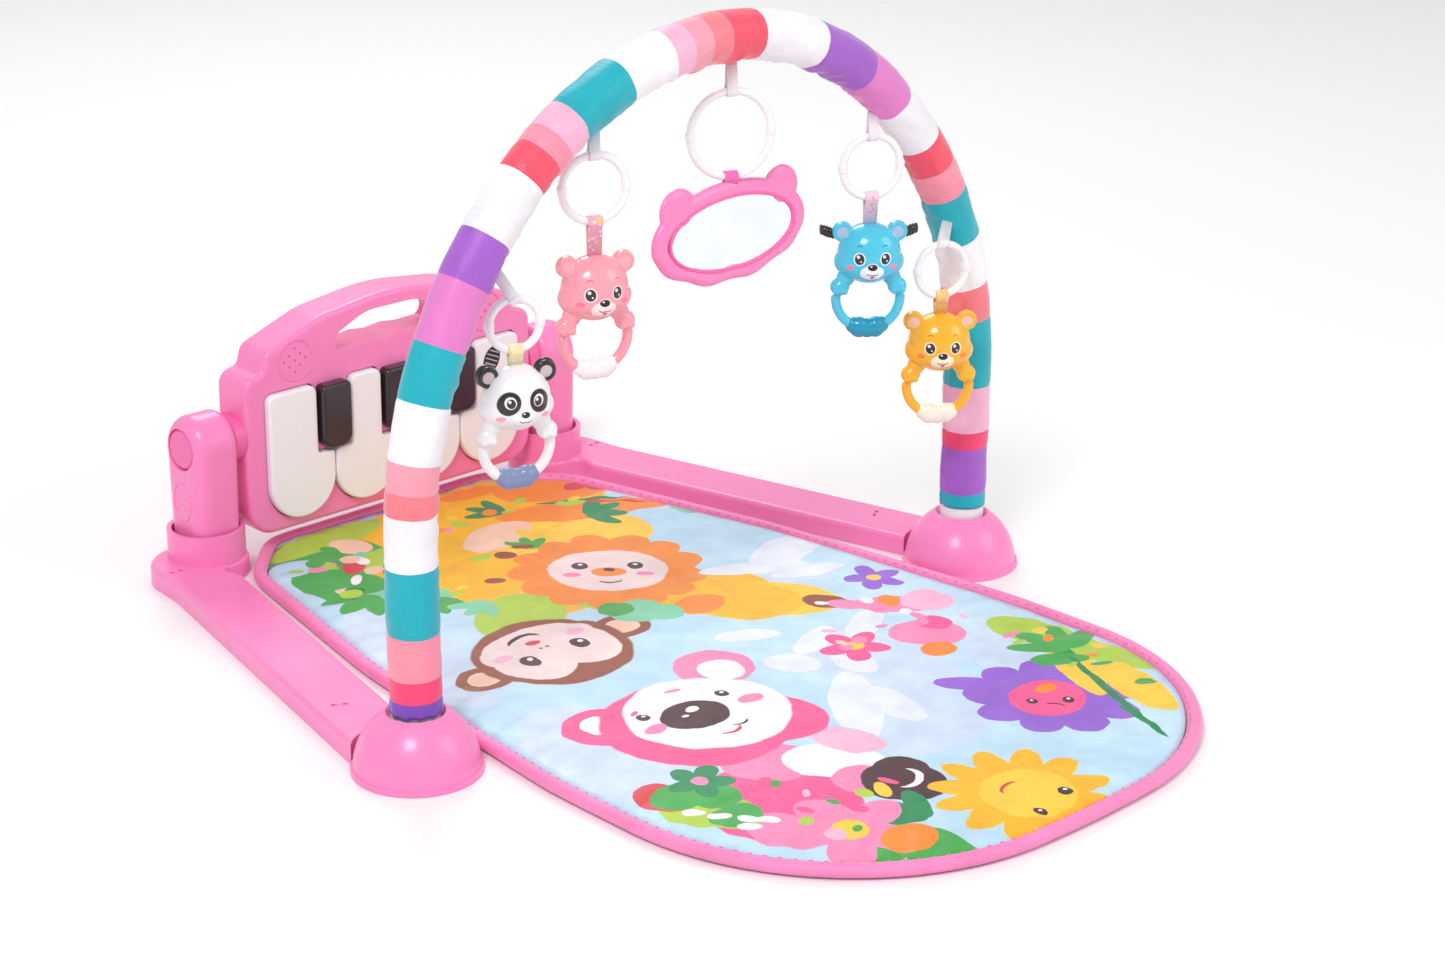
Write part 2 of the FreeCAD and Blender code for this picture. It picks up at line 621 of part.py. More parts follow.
def board_inside():
    """Circuit board, contact strip, speaker, batteries and screws inside the key board."""
    split = size("board_front") + size("front_deep")
    box_between("circuit_board", (-106, split + 2.0, 76), (106, split + 3.6, 108))
    box_between("contact_strip", (-104, split - 1.4, 86), (104, split + 1.9, 96))
    rim_place = V(size("speaker_x"), size("board_front") + 4.5, size("speaker_z"))
    rim = Part.makeCylinder(size("speaker_radius"), 2.5, rim_place, V(0, 1, 0))
    cone = Part.makeCone(size("speaker_radius") - 0.8, 6.5, 8, rim_place + V(0, 2.5, 0), V(0, 1, 0))
    made("speaker_driver", rim.fuse(cone).removeSplitter())
    cells = []
    for z in (41.0, 53.0, 65.0):
        cells.append(Part.makeCylinder(5.1, 50, V(-25, split + 5.2, z), V(1, 0, 0)))
    made("batteries", Part.makeCompound(cells))
    screws = []
    for x, z in ((-104, 36), (104, 36), (-112, 118), (112, 118), (-60, 146), (60, 146)):
        screws.append(Part.makeCylinder(2.8, 2.2, V(x, split + size("back_deep"), z), V(0, 1, 0)))
    made("shell_screws", Part.makeCompound(screws))


def trunnions():
    """Round pins with a thrust washer that carry the board in the posts."""
    pins = []
    for side in (-1, 1):
        face = size("post_x") - size("post_wide") / 2
        wall = size("board_half") - 0.7
        hub = V(side * wall, size("post_y"), size("tilt_height"))
        washer = Part.makeCylinder(17, face - wall - 0.5, hub, V(side, 0, 0))
        pin = Part.makeCylinder(size("trunnion_radius"), face - wall + size("trunnion_reach"), hub, V(side, 0, 0))
        pins.append(washer.fuse(pin).removeSplitter())
    return made("tilt_trunnions", Part.makeCompound(pins))


# Hanging toys

TOYS = (
    # name, ring centre x, y, z, ring outer radius, facing, head centre height
    ("panda", -160.0, -22.0, 257.0, 18.0, -20.0, 213.0),
    ("pink_bear", -98.0, -22.0, 327.0, 22.5, -20.0, 267.0),
    ("mirror", 13.0, -22.0, 341.0, 29.0, 0.0, 280.0),
    ("blue_bear", 139.0, -22.0, 299.0, 22.5, -38.0, 242.0),
    ("yellow_bear", 192.0, -38.0, 223.4, 20.0, -38.0, 174.4),
)
RING_FACING = -22.0
LOOP_ENDS = {"panda": (-174.0, -22.0, 289.5), "yellow_bear": (202.0, -33.0, 250.0)}


def turned(x, y, z, facing):
    return FreeCAD.Placement(V(x, y, z), FreeCAD.Rotation(UP, facing))


def band_round_wire(wide):
    """Ribbon closed round a ring's wire, centred on the origin, its width along X."""
    inner = size("loop_inner")
    outer = inner + size("loop_thick")
    start = V(-wide / 2, 0, 0)
    return Part.makeCylinder(outer, wide, start, V(1, 0, 0)).cut(Part.makeCylinder(inner, wide, start, V(1, 0, 0)))


def ribbon(low, high, wide, thick):
    """Flat ribbon between two points, its ends level."""
    outline = []
    for point in (low, high):
        corners = [V(point.x + x * wide / 2, point.y + y * thick / 2, point.z)
                   for x, y in ((-1, -1), (1, -1), (1, 1), (-1, 1), (-1, -1))]
        outline.append(Part.makePolygon(corners))
    return Part.makeLoft(outline, True, True)


def arch_underside(x):
    """Height of the sleeve's lower side above a point under the arch."""
    turn = math.radians(size("side_angle"))
    crown = size("leg_top") + (size("side_arc") - size("top_arc")) * math.sin(turn)
    inner = size("top_arc") - size("sleeve_outer")
    if abs(x) < inner * math.cos(turn):
        return crown + math.sqrt(inner ** 2 - x ** 2)
    inner = size("side_arc") - size("sleeve_outer")
    return size("leg_top") + math.sqrt(inner ** 2 - (abs(x) + size("side_arc") - size("foot_half_span")) ** 2)


def hanging_loops():
    loops = []
    for name, x, y, z, radius, facing, head in TOYS:
        wire = z + radius - size("ring_wire")
        place = turned(x, y, wire, RING_FACING)
        band = band_round_wire(size("loop_wide"))
        end = LOOP_ENDS.get(name, (x, y, arch_underside(x) + 0.2))
        target = place.inverse().multVec(V(*end))
        stem = ribbon(V(0, 0, size("loop_inner") + 0.2), target, size("loop_wide"), 1.8)
        loop = band.fuse(stem).removeSplitter()
        loop.Placement = place
        loops.append(loop)
    return made("hanging_loops", Part.makeCompound(loops))


def toy_ring(name, x, y, z, radius):
    ring = primitive("Torus", name + "_ring", Radius2="$ring_wire")
    ring.Radius1 = radius - size("ring_wire")
    ring.Placement = FreeCAD.Placement(V(x, y, z), FreeCAD.Rotation(UP, RING_FACING).multiply(
        FreeCAD.Rotation(V(1, 0, 0), 90)))
    ring.Label = name + "_ring"
    return ring


def toy_strap(name, x, y, wire_height, top_of_toy):
    """Ribbon from the ring's lowest point down to the toy."""
    place = turned(x, y, wire_height, RING_FACING)
    band = band_round_wire(size("strap_wide"))
    low = V(0, 0, top_of_toy - wire_height)
    stem = ribbon(low, V(0, 0, -size("loop_inner") - 0.2), size("strap_wide"), 1.8)
    strap = band.fuse(stem).removeSplitter()
    strap.Placement = place
    return made(name + "_strap", strap)


def ellipsoid(x, y, z, wide, deep, tall):
    """Solid ellipsoid with the given radii along X, Y and Z."""
    stretch = FreeCAD.Matrix()
    stretch.A11 = wide / tall
    stretch.A22 = deep / tall
    ball = Part.makeSphere(tall).transformGeometry(stretch)
    ball.translate(V(x, y, z))
    return ball


def bow_span(start, angle, wire):
    """Stretch of the handle's bow, which hangs below the head in the XZ plane."""
    span = Part.makeTorus(size("bow_radius"), wire, V(0, 0, 0), UP, 0, 360, angle)
    span.Placement = FreeCAD.Placement(V(0, 0, -size("bow_drop")), FreeCAD.Rotation(V(1, 0, 0), 90).multiply(
        FreeCAD.Rotation(UP, start)))
    return span


def rattle(name, x, y, z, facing):
    """Head with ears, two arms with paws, and the bow of the handle down to the grip."""
    wide = size("head_wide")
    tall = size("head_tall")
    ear = size("ear_radius")
    paw = size("paw_radius")
    whole = ellipsoid(0, 0, 0, wide, size("head_deep"), tall)
    for side in (-1, 1):
        whole = whole.fuse(ellipsoid(side * wide * 0.78, 0, tall * 0.82, ear, ear * 0.62, ear))
    for side in (-1, 1):
        whole = whole.fuse(ellipsoid(side * 15.0, 0, -15.0, paw, paw * 0.8, paw))
    for side in (-1, 1):
        whole = whole.fuse(ellipsoid(side * 18.5, 0, -22.0, paw, paw * 0.85, paw))
    for start in (165.0, 300.0):
        whole = whole.fuse(bow_span(start, 75.0, size("bow_wire")))
    node = made(name + "_rattle", whole)
    node.Placement = turned(x, y, z, facing)
    return node


def grip(name, x, y, z, facing):
    """Thick soft grip between the two lower ends of the bow."""
    block = bow_span(241.0, 58.0, size("grip_tall") / 2 - 1)
    node = made(name + "_grip", block)
    node.Placement = turned(x, y, z, facing).multiply(block.Placement)
    return node


def oval(half_wide, half_tall, deep, front):
    """Oval slab in the XZ plane, its front face at y = front."""
    ellipse = Part.Ellipse(V(half_wide, front, 0), V(0, front, half_tall), V(0, front, 0))
    return Part.Face(Part.Wire(ellipse.toShape())).extrude(V(0, deep, 0))


def mirror_toy(x, y, z, facing):
    """Oval frame with two round ears, holding a mirror plate in a shallow recess."""
    deep = size("mirror_deep")
    slab = oval(size("mirror_half"), size("mirror_tall"), deep, -deep / 2)
    slab = slab.makeFillet(2.4, [e for e in slab.Edges if e.BoundBox.YLength < 0.01])
    for side in (-1, 1):
        ear = Part.makeCylinder(14.5, deep - 0.4, V(side * 41, -deep / 2 + 0.2, 21), V(0, 1, 0))
        slab = slab.fuse(ear.makeFillet(2.4, [e for e in ear.Edges if e.BoundBox.YLength < 0.01]))
    recess = oval(size("plate_half") + 0.2, size("plate_tall") + 0.2, 3.0, -deep / 2 - 0.5)
    frame = made("mirror_frame", slab.cut(recess))
    frame.Placement = turned(x, y, z, facing)
    plate = made("mirror_plate", oval(size("plate_half"), size("plate_tall"), 1.8, -deep / 2 + 0.7))
    plate.Placement = turned(x, y, z, facing)


def hang_toys():
    for name, x, y, z, radius, facing, head in TOYS:
        toy_ring(name, x, y, z, radius)
        wire = z - radius + size("ring_wire")
        if name == "mirror":
            mirror_toy(x, y, head, facing)
            toy_strap(name, x, y, wire, head + size("mirror_tall") + 0.15)
        else:
            rattle(name, x, y, head, facing)
            grip(name, x, y, head, facing)
            toy_strap(name, x, y, wire, head + size("head_tall") + 0.15)


def build_all():
    for word, side in (("left", -1), ("right", 1)):
        base_arm("base_arm_" + word, side)
        dome_foot("dome_foot_" + word, side)
        post("post_" + word, side)
        lock_button("lock_button_" + word, side)
    lock_springs()
    post_screws()
    arch_tubes()
    tube_cuffs()
    arch_sleeve()
    hanging_loops()
    mat_pad()
    mat_binding()
    piano_front_shell()
    piano_back_shell()
    battery_cover()
    power_switch()
    for index in range(4):
        white_key(index)
    black_keys()
    board_inside()
    trunnions()
    hang_toys()


NODES = [
    "base_arm_left", "base_arm_right", "dome_foot_left", "dome_foot_right", "post_left", "post_right",
    "lock_button_left", "lock_button_right", "lock_springs", "post_screws",
    "arch_tube_left", "arch_tube_top", "arch_tube_right", "tube_cuffs", "arch_sleeve", "hanging_loops",
    "mat_pad", "mat_binding",
    "piano_front_shell", "piano_back_shell", "battery_cover", "power_switch",
    "white_key_1", "white_key_2", "white_key_3", "white_key_4", "black_keys",
    "circuit_board", "contact_strip", "speaker_driver", "batteries", "shell_screws", "tilt_trunnions",
    "mirror_ring", "mirror_strap", "mirror_frame", "mirror_plate",
] + ["%s_%s" % (toy, part) for toy in ("panda", "pink_bear", "blue_bear", "yellow_bear")
     for part in ("ring", "strap", "rattle", "grip")]


def check_and_write():
    doc.recompute()
    for obj in doc.Objects:
        if "Invalid" in obj.State or "Error" in obj.State:
            raise RuntimeError("%s failed: %s" % (obj.Label, obj.State))
    os.makedirs("parts", exist_ok=True)
    found = {obj.Label: obj for obj in doc.Objects if hasattr(obj, "Shape")}
    for name in NODES:
        shape = found[name].Shape
        if shape.isNull() or not shape.isValid() or not shape.Solids:
            raise RuntimeError(name + " has no valid solid")
    for name in NODES:
        shape = found[name].Shape
        shape.exportStep("parts/%s.step" % name)
        box = shape.BoundBox
        print("%-20s solids %d volume %9.0f x %.1f..%.1f y %.1f..%.1f z %.1f..%.1f" % (
            name, len(shape.Solids), shape.Volume, box.XMin, box.XMax, box.YMin, box.YMax, box.ZMin, box.ZMax))


build_all()
check_and_write()
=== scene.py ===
import math
import random

import bmesh
import bpy
from mathutils import Matrix, Vector, noise


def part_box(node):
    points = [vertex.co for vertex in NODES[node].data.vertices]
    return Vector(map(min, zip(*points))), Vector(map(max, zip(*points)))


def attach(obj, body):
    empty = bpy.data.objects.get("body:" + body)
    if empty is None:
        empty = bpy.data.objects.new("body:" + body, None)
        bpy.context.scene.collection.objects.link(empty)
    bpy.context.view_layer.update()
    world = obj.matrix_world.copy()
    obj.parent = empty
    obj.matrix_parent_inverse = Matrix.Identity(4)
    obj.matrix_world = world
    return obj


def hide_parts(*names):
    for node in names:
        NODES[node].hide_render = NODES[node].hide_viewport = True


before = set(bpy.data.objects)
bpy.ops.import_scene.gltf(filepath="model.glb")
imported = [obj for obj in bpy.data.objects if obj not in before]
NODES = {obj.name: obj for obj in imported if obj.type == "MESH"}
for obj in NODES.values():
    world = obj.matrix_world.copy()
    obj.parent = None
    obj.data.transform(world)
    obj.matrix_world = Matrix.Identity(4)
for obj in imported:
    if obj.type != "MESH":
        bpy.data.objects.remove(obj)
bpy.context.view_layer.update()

MM = 0.001
X_AXIS = Vector((1, 0, 0))
Y_AXIS = Vector((0, 1, 0))
Z_AXIS = Vector((0, 0, 1))
ORIGIN = Vector((0, 0, 0))
SIDES = ((-1, "left"), (1, "right"))
scene = bpy.context.scene
scene.view_settings.view_transform = "Standard"


# Camera, light and floor

CAMERA_PLACE = Vector((-1.2256, -1.2850, 0.7770))
CAMERA_AZIMUTH = math.radians(-44.35)
CAMERA_ELEVATION = math.radians(20.48)
CAMERA_ROLL = math.radians(0.58)
CAMERA_LENS = 74.52
WORLD_STRENGTH = 0.66
FLOOR_REACH = 6.0
FLOOR_DROP = 0.0002


def make_camera():
    """Camera high in front of the left foot, looking across the mat."""
    data = bpy.data.cameras.new("camera")
    data.lens = CAMERA_LENS
    data.sensor_width = 36.0
    data.clip_end = 20.0
    camera = bpy.data.objects.new("camera", data)
    scene.collection.objects.link(camera)
    turn = Matrix.Rotation(CAMERA_AZIMUTH, 4, "Z") @ Matrix.Rotation(math.pi / 2 - CAMERA_ELEVATION, 4, "X")
    camera.matrix_world = Matrix.Translation(CAMERA_PLACE) @ turn @ Matrix.Rotation(CAMERA_ROLL, 4, "Z")
    scene.camera = camera


def area_light(name, place, target, size, power):
    data = bpy.data.lights.new(name, "AREA")
    data.shape = "DISK"
    data.size = size
    data.energy = power
    light = bpy.data.objects.new(name, data)
    scene.collection.objects.link(light)
    light.location = place
    light.rotation_euler = (Vector(target) - Vector(place)).to_track_quat("-Z", "Y").to_euler()


def make_studio():
    world = bpy.data.worlds.new("studio")
    world.use_nodes = True
    world.node_tree.nodes["Background"].inputs["Color"].default_value = (1.0, 1.0, 1.0, 1.0)
    world.node_tree.nodes["Background"].inputs["Strength"].default_value = WORLD_STRENGTH
    scene.world = world
    area_light("key_light", (-1.6, -0.9, 2.2), (0, 0, 0.1), 0.9, 30)
    area_light("fill_light", (1.2, -1.8, 1.4), (0, 0, 0.15), 1.4, 11)
    area_light("rim_light", (0.9, 1.6, 1.8), (0, 0, 0.15), 1.0, 14)
    mesh = bpy.data.meshes.new("floor")
    corners = [(x * FLOOR_REACH, y * FLOOR_REACH, 0) for x, y in ((-1, -1), (1, -1), (1, 1), (-1, 1))]
    mesh.from_pydata(corners, [], [(0, 1, 2, 3)])
    floor = bpy.data.objects.new("floor", mesh)
    scene.collection.objects.link(floor)
    floor.location.z = -FLOOR_DROP
    cover = bpy.data.materials.new("floor")
    cover.use_nodes = True
    shader = cover.node_tree.nodes["Principled BSDF"]
    shader.inputs["Base Color"].default_value = (0.93, 0.925, 0.925, 1.0)
    shader.inputs["Roughness"].default_value = 0.7
    mesh.materials.append(cover)


# Colours and material building

def tone(red, green, blue):
    """A screen colour, 0 to 255, as linear values."""
    values = []
    for part in (red, green, blue):
        part /= 255
        values.append(part / 12.92 if part <= 0.04045 else ((part + 0.055) / 1.055) ** 2.4)
    return tuple(values) + (1.0,)


def shade(colour, factor):
    """A lighter or darker shade of a colour."""
    return tuple(min(1.0, part * factor) for part in colour[:3]) + (1.0,)


class Nodes:
    """Short names for adding and joining the nodes of one material or group."""

    def __init__(self, tree):
        self.tree = tree

    def add(self, kind, **settings):
        node = self.tree.nodes.new("ShaderNode" + kind)
        for name, value in settings.items():
            setattr(node, name, value)
        return node

    def place(self):
        return self.add("TexCoord").outputs["Object"]

    def join(self, source, target):
        self.tree.links.new(source, target)

    def feed(self, slots, values):
        """Set each slot to its constant, or join it to its socket."""
        for slot, value in zip(slots, values):
            if isinstance(value, (int, float, tuple)):
                slot.default_value = value
            else:
                self.join(value, slot)

    def math(self, operation, *values, clamp=False):
        node = self.add("Math", operation=operation, use_clamp=clamp)
        self.feed(node.inputs, values)
        return node.outputs[0]

    def vector(self, operation, *values):
        node = self.add("VectorMath", operation=operation)
        self.feed(node.inputs, values)
        return node

    def mix(self, factor, first, second, blend="MIX"):
        node = self.add("Mix", data_type="RGBA", blend_type=blend)
        self.feed((node.inputs[0], node.inputs[6], node.inputs[7]), (factor, first, second))
        return node.outputs[2]

    def noise(self, vector, scale, detail=2.0, roughness=0.5):
        node = self.add("TexNoise")
        names = ("Vector", "Scale", "Detail", "Roughness")
        self.feed([node.inputs[name] for name in names], (vector, scale, detail, roughness))
        return node.outputs[0]

    def ramp(self, value, low, high, start=0.0, end=1.0):
        node = self.add("MapRange")
        self.join(value, node.inputs["Value"])
        for name, number in (("From Min", low), ("From Max", high), ("To Min", start), ("To Max", end)):
            node.inputs[name].default_value = number
        return node.outputs[0]


def new_material(name):
    material = bpy.data.materials.new(name)
    material.use_nodes = True
    nodes = Nodes(material.node_tree)
    shader = material.node_tree.nodes["Principled BSDF"]
    return material, nodes, shader


def finish_with(shader, **values):
    """Set constant finishes on the shader's own sockets: sheen_weight stands for Sheen Weight."""
    for name, value in values.items():
        shader.inputs[name.replace("_", " ").title()].default_value = value


def bump(nodes, shader, height, strength, distance):
    node = nodes.add("Bump")
    node.inputs["Strength"].default_value = strength
    node.inputs["Distance"].default_value = distance
    nodes.join(height, node.inputs["Height"])
    nodes.join(node.outputs[0], shader.inputs["Normal"])


def plastic(name, colour, rough=0.3, grain=0.25, depth=0.03, coat=0.15):
    """Moulded plastic: slight colour drift, flow marks, uneven gloss and a fine orange-peel surface."""
    material, nodes, shader = new_material(name)
    place = nodes.place()
    drift = nodes.noise(place, 11.0, 1.5, 0.4)
    flow = nodes.noise(place, 40.0, 1.5, 0.4)
    base = nodes.mix(nodes.ramp(drift, 0.1, 0.9), shade(colour, 1 - depth * 2), shade(colour, 1 + depth))
    nodes.join(base, shader.inputs["Base Color"])
    nodes.join(nodes.ramp(flow, 0.1, 0.9, rough - 0.07, rough + 0.09), shader.inputs["Roughness"])
    finish_with(shader, coat_weight=coat, coat_roughness=0.12)
    shader.inputs["IOR"].default_value = 1.5
    peel = nodes.noise(place, 900.0, 2.0)
    wave = nodes.noise(place, 24.0, 0.0)
    height = nodes.math("ADD", nodes.math("MULTIPLY", peel, 0.12), wave)
    bump(nodes, shader, height, grain, 0.0004)
    return material


def cloth_height(nodes, place, pitch):
    """Plain weave: two crossed sets of threads about pitch metres apart, as a height."""
    waves = []
    for direction in ("X", "Y", "Z"):
        node = nodes.add("TexWave", wave_type="BANDS", bands_direction=direction)
        node.inputs["Scale"].default_value = 1.0 / (pitch * 20.0)
        node.inputs["Distortion"].default_value = 0.6
        node.inputs["Detail"].default_value = 1.0
        nodes.join(place, node.inputs["Vector"])
        waves.append(node.outputs[1])
    return nodes.math("ADD", nodes.math("ADD", waves[0], waves[1]), waves[2])


def fabric(name, colour, pitch=0.0006, sheen=0.35, rough=0.62, depth=0.07, specks=()):
    """Woven polyester: thread bump, uneven dye, raised threads painted lighter as a painted highlight, and a
    soft sheen.
    """
    material, nodes, shader = new_material(name)
    place = nodes.place()
    drift = nodes.noise(place, 25.0, 4.0, 0.6)
    threads = cloth_height(nodes, place, pitch)
    lighter = shade(colour, 1 + depth)
    base = nodes.mix(nodes.ramp(drift, 0.25, 0.75), shade(colour, 1 - depth * 2.4), lighter)
    for i, speck in enumerate(specks):
        spots = nodes.add("TexVoronoi")
        spots.inputs["Scale"].default_value = 230.0 + 60.0 * i
        nodes.join(place, spots.inputs["Vector"])
        base = nodes.mix(nodes.ramp(spots.outputs["Distance"], 0.22, 0.3, 0.9, 0.0), base, speck)
    # Raised threads are painted lighter: a painted highlight on the thread tops, laid over the dye.
    thread_highlight_colour = nodes.mix(nodes.ramp(threads, 0.4, 2.4, 0.0, 0.22), base, lighter)
    nodes.join(thread_highlight_colour, shader.inputs["Base Color"])
    nodes.join(nodes.ramp(drift, 0.2, 0.8, rough - 0.06, rough + 0.08), shader.inputs["Roughness"])
    finish_with(shader, sheen_weight=sheen, sheen_roughness=0.4)
    bump(nodes, shader, threads, 0.35, 0.00012)
    return material


# Printed shapes: each is one ellipse laid over the colours before it

def blob_group():
    """Node group that lays one ellipse of colour over a base: place, centre, turn and radii come in."""
    group = bpy.data.node_groups.new("printed_ellipse", "ShaderNodeTree")
    face = group.interface
    for kind, names in (("Color", ("Base", "Ink")), ("Vector", ("Place", "Centre", "Turn", "Radii")),
                        ("Float", ("Edge",))):
        for name in names:
            face.new_socket(name=name, in_out="INPUT", socket_type="NodeSocket" + kind)
    face.new_socket(name="Colour", in_out="OUTPUT", socket_type="NodeSocketColor")
    nodes = Nodes(group)
    entry = group.nodes.new("NodeGroupInput")
    leave = group.nodes.new("NodeGroupOutput")
    mapping = nodes.add("Mapping", vector_type="TEXTURE")
    for name, slot in (("Place", "Vector"), ("Centre", "Location"), ("Turn", "Rotation"), ("Radii", "Scale")):
        nodes.join(entry.outputs[name], mapping.inputs[slot])
    length = nodes.vector("LENGTH", mapping.outputs[0])
    inside = nodes.math("SUBTRACT", 1.0, length.outputs["Value"])
    cover = nodes.math("DIVIDE", inside, entry.outputs["Edge"], clamp=True)
    nodes.join(nodes.mix(cover, entry.outputs["Base"], entry.outputs["Ink"]), leave.inputs[0])
    return group


def printed(nodes, group, base, place, shapes, edge=0.03):
    """Lay the shapes (x, y, wide, deep, turn in degrees, colour), in millimetres, over a base colour."""
    colour = base
    for x, y, wide, deep, turn, ink in shapes:
        node = nodes.tree.nodes.new("ShaderNodeGroup")
        node.node_tree = group
        if isinstance(colour, tuple):
            node.inputs["Base"].default_value = colour
        else:
            nodes.join(colour, node.inputs["Base"])
        node.inputs["Ink"].default_value = ink
        nodes.join(place, node.inputs["Place"])
        node.inputs["Centre"].default_value = (x * MM, y * MM, 0.0)
        node.inputs["Turn"].default_value = (0.0, 0.0, math.radians(turn))
        node.inputs["Radii"].default_value = (wide * MM, deep * MM, 1.0)
        node.inputs["Edge"].default_value = edge
        colour = node.outputs[0]
    return colour


# Mesh helpers

def add_mesh(name, points, faces, material, smooth=True):
    mesh = bpy.data.meshes.new(name)
    mesh.from_pydata([tuple(p) for p in points], [], faces)
    mesh.validate()
    if smooth:
        mesh.polygons.foreach_set("use_smooth", [True] * len(mesh.polygons))
    piece = bpy.data.objects.new(name, mesh)
    scene.collection.objects.link(piece)
    for cover in material if isinstance(material, (list, tuple)) else [material]:
        mesh.materials.append(cover)
    return piece


def ring_faces(rings, around, closed=False, start=0):
    """Quads between successive rings of points; closed joins the last ring to the first."""
    faces = []
    last = rings if closed else rings - 1
    for i in range(last):
        low = start + i * around
        high = start + ((i + 1) % rings) * around
        for k in range(around):
            after = (k + 1) % around
            faces.append((low + k, low + after, high + after, high + k))
    return faces


def oval(centre, wide, tall, count, across, up):
    """Evenly turned points on an ellipse, from one direction towards the other."""
    points = []
    for i in range(count):
        angle = 2 * math.pi * i / count
        points.append(centre + across * (wide * math.cos(angle)) + up * (tall * math.sin(angle)))
    return points


def hoop(path, outs, wide, deep, around):
    """Points and faces of a closed ring: its oval section lies along each outward direction and Y."""
    points = []
    for centre, out in zip(path, outs):
        points += oval(centre, wide, deep, around, out, Y_AXIS)
    return points, ring_faces(len(path), around, True)


def bead(name, path, radius, material, around):
    """Closed round bead along a ring of points."""
    points = []
    count = len(path)
    side = None
    for i, centre in enumerate(path):
        along = (path[(i + 1) % count] - path[i - 1]).normalized()
        if side is None:
            side = along.orthogonal().normalized()
        side = (side - along * side.dot(along)).normalized()
        points += oval(centre, radius, radius, around, side, along.cross(side))
    return add_mesh(name, points, ring_faces(count, around, True), material)


def ball_points(centre, wide, deep, tall, around=40, rings=24):
    """Points and faces of an ellipsoid."""
    centre = Vector(centre)
    points = [centre - Z_AXIS * tall]
    for i in range(1, rings):
        up = math.pi * i / rings
        level = centre - Z_AXIS * (tall * math.cos(up))
        points += oval(level, wide * math.sin(up), deep * math.sin(up), around, X_AXIS, Y_AXIS)
    points.append(centre + Z_AXIS * tall)
    faces = [(0, 1 + (k + 1) % around, 1 + k) for k in range(around)]
    faces += ring_faces(rings - 1, around, False, 1)
    last = len(points) - 1
    top = 1 + (rings - 2) * around
    faces += [(top + k, top + (k + 1) % around, last) for k in range(around)]
    return points, faces


def arc_points(centre, radius, start, end, count):
    """Points on an arc in the XZ plane, angles in degrees from +X towards +Z."""
    points = []
    for i in range(count):
        angle = math.radians(start + (end - start) * i / (count - 1))
        points.append(centre + Vector((radius * math.cos(angle), 0, radius * math.sin(angle))))
    return points


def moulded(name, parts, material, voxel, smoothing=6):
    """Join overlapping closed parts into one moulded skin with softened joints."""
    points = []
    faces = []
    for part_points, part_faces in parts:
        shift = len(points)
        points += part_points
        faces += [tuple(k + shift for k in face) for face in part_faces]
    piece = add_mesh(name, points, faces, material)
    remesh = piece.modifiers.new("skin", "REMESH")
    remesh.mode = "VOXEL"
    remesh.voxel_size = voxel
    remesh.use_smooth_shade = True
    soften = piece.modifiers.new("soften", "SMOOTH")
    soften.factor = 0.5
    soften.iterations = smoothing
    return apply_modifiers(piece)


def apply_modifiers(piece):
    graph = bpy.context.evaluated_depsgraph_get()
    fresh = bpy.data.meshes.new_from_object(piece.evaluated_get(graph))
    covers = [slot.material for slot in piece.material_slots]
    piece.modifiers.clear()
    piece.data = fresh
    fresh.materials.clear()
    for cover in covers:
        fresh.materials.append(cover)
    fresh.polygons.foreach_set("use_smooth", [True] * len(fresh.polygons))
    return piece


def end_caps(count, around):
    """The two end faces of a tube that has a given number of rings."""
    return [tuple(reversed(range(around))), tuple(range((count - 1) * around, count * around))]


def tube_points(path, radius, around=18):
    """Points and faces of a closed capped tube, for moulding."""
    points = []
    for i, centre in enumerate(path):
        along = (path[min(i + 1, len(path) - 1)] - path[max(i - 1, 0)]).normalized()
        points += oval(centre, radius, radius, around, along.cross(Y_AXIS), Y_AXIS)
    return points, ring_faces(len(path), around) + end_caps(len(path), around)


def settle(piece, body, slot, *nodes, place=None):
    """Put a piece in place on its body and hide the CAD nodes that it stands for; the slot argument is not
    used.
    """
    if place is not None:
        piece.matrix_world = place
    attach(piece, body)
    if nodes:
        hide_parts(*nodes)
    return piece


# Hard colours

PINK = tone(249, 136, 194)
PINK_DEEP = tone(243, 105, 172)
WHITE = tone(246, 243, 244)
BLACK = tone(38, 26, 32)

make_camera()
make_studio()
random.seed(7)
BLOB = blob_group()
pink_plastic = plastic("pink_plastic", PINK)
pink_deep_plastic = plastic("pink_deep_plastic", PINK_DEEP)
key_plastic = plastic("key_plastic", tone(246, 243, 247), rough=0.34, depth=0.01)
black_plastic = plastic("black_plastic", BLACK, rough=0.18, grain=0.1, coat=0.35)
link_plastic = plastic("link_plastic", WHITE, rough=0.22, depth=0.02)
tube_plastic = plastic("tube_plastic", tone(240, 238, 238), rough=0.3, depth=0.03)


def cover_cad(names, material):
    for name in names:
        mesh = NODES[name].data
        mesh.materials.clear()
        mesh.materials.append(material)


def metal(name, colour, rough):
    material, nodes, shader = new_material(name)
    place = nodes.place()
    finish_with(shader, metallic=1.0)
    drift = nodes.noise(place, 300.0, 3.0)
    worn = nodes.mix(nodes.ramp(drift, 0.3, 0.7), shade(colour, 0.8), colour)
    nodes.join(worn, shader.inputs["Base Color"])
    nodes.join(nodes.ramp(drift, 0.3, 0.7, rough - 0.08, rough + 0.1), shader.inputs["Roughness"])
    bump(nodes, shader, drift, 0.1, 0.0001)
    return material


def mirror_film():
    """Bright plastic mirror: nearly even, with a faint ripple and a few smears."""
    material, nodes, shader = new_material("mirror_film")
    place = nodes.place()
    finish_with(shader, metallic=1.0)
    smear = nodes.noise(place, 40.0, 3.0, 0.7)
    film = nodes.mix(nodes.ramp(smear, 0.4, 0.7), tone(246, 249, 250), tone(238, 243, 246))
    nodes.join(film, shader.inputs["Base Color"])
    nodes.join(nodes.ramp(smear, 0.4, 0.75, 0.05, 0.13), shader.inputs["Roughness"])
    bump(nodes, shader, nodes.noise(place, 18.0, 1.0), 0.12, 0.0012)
    return material


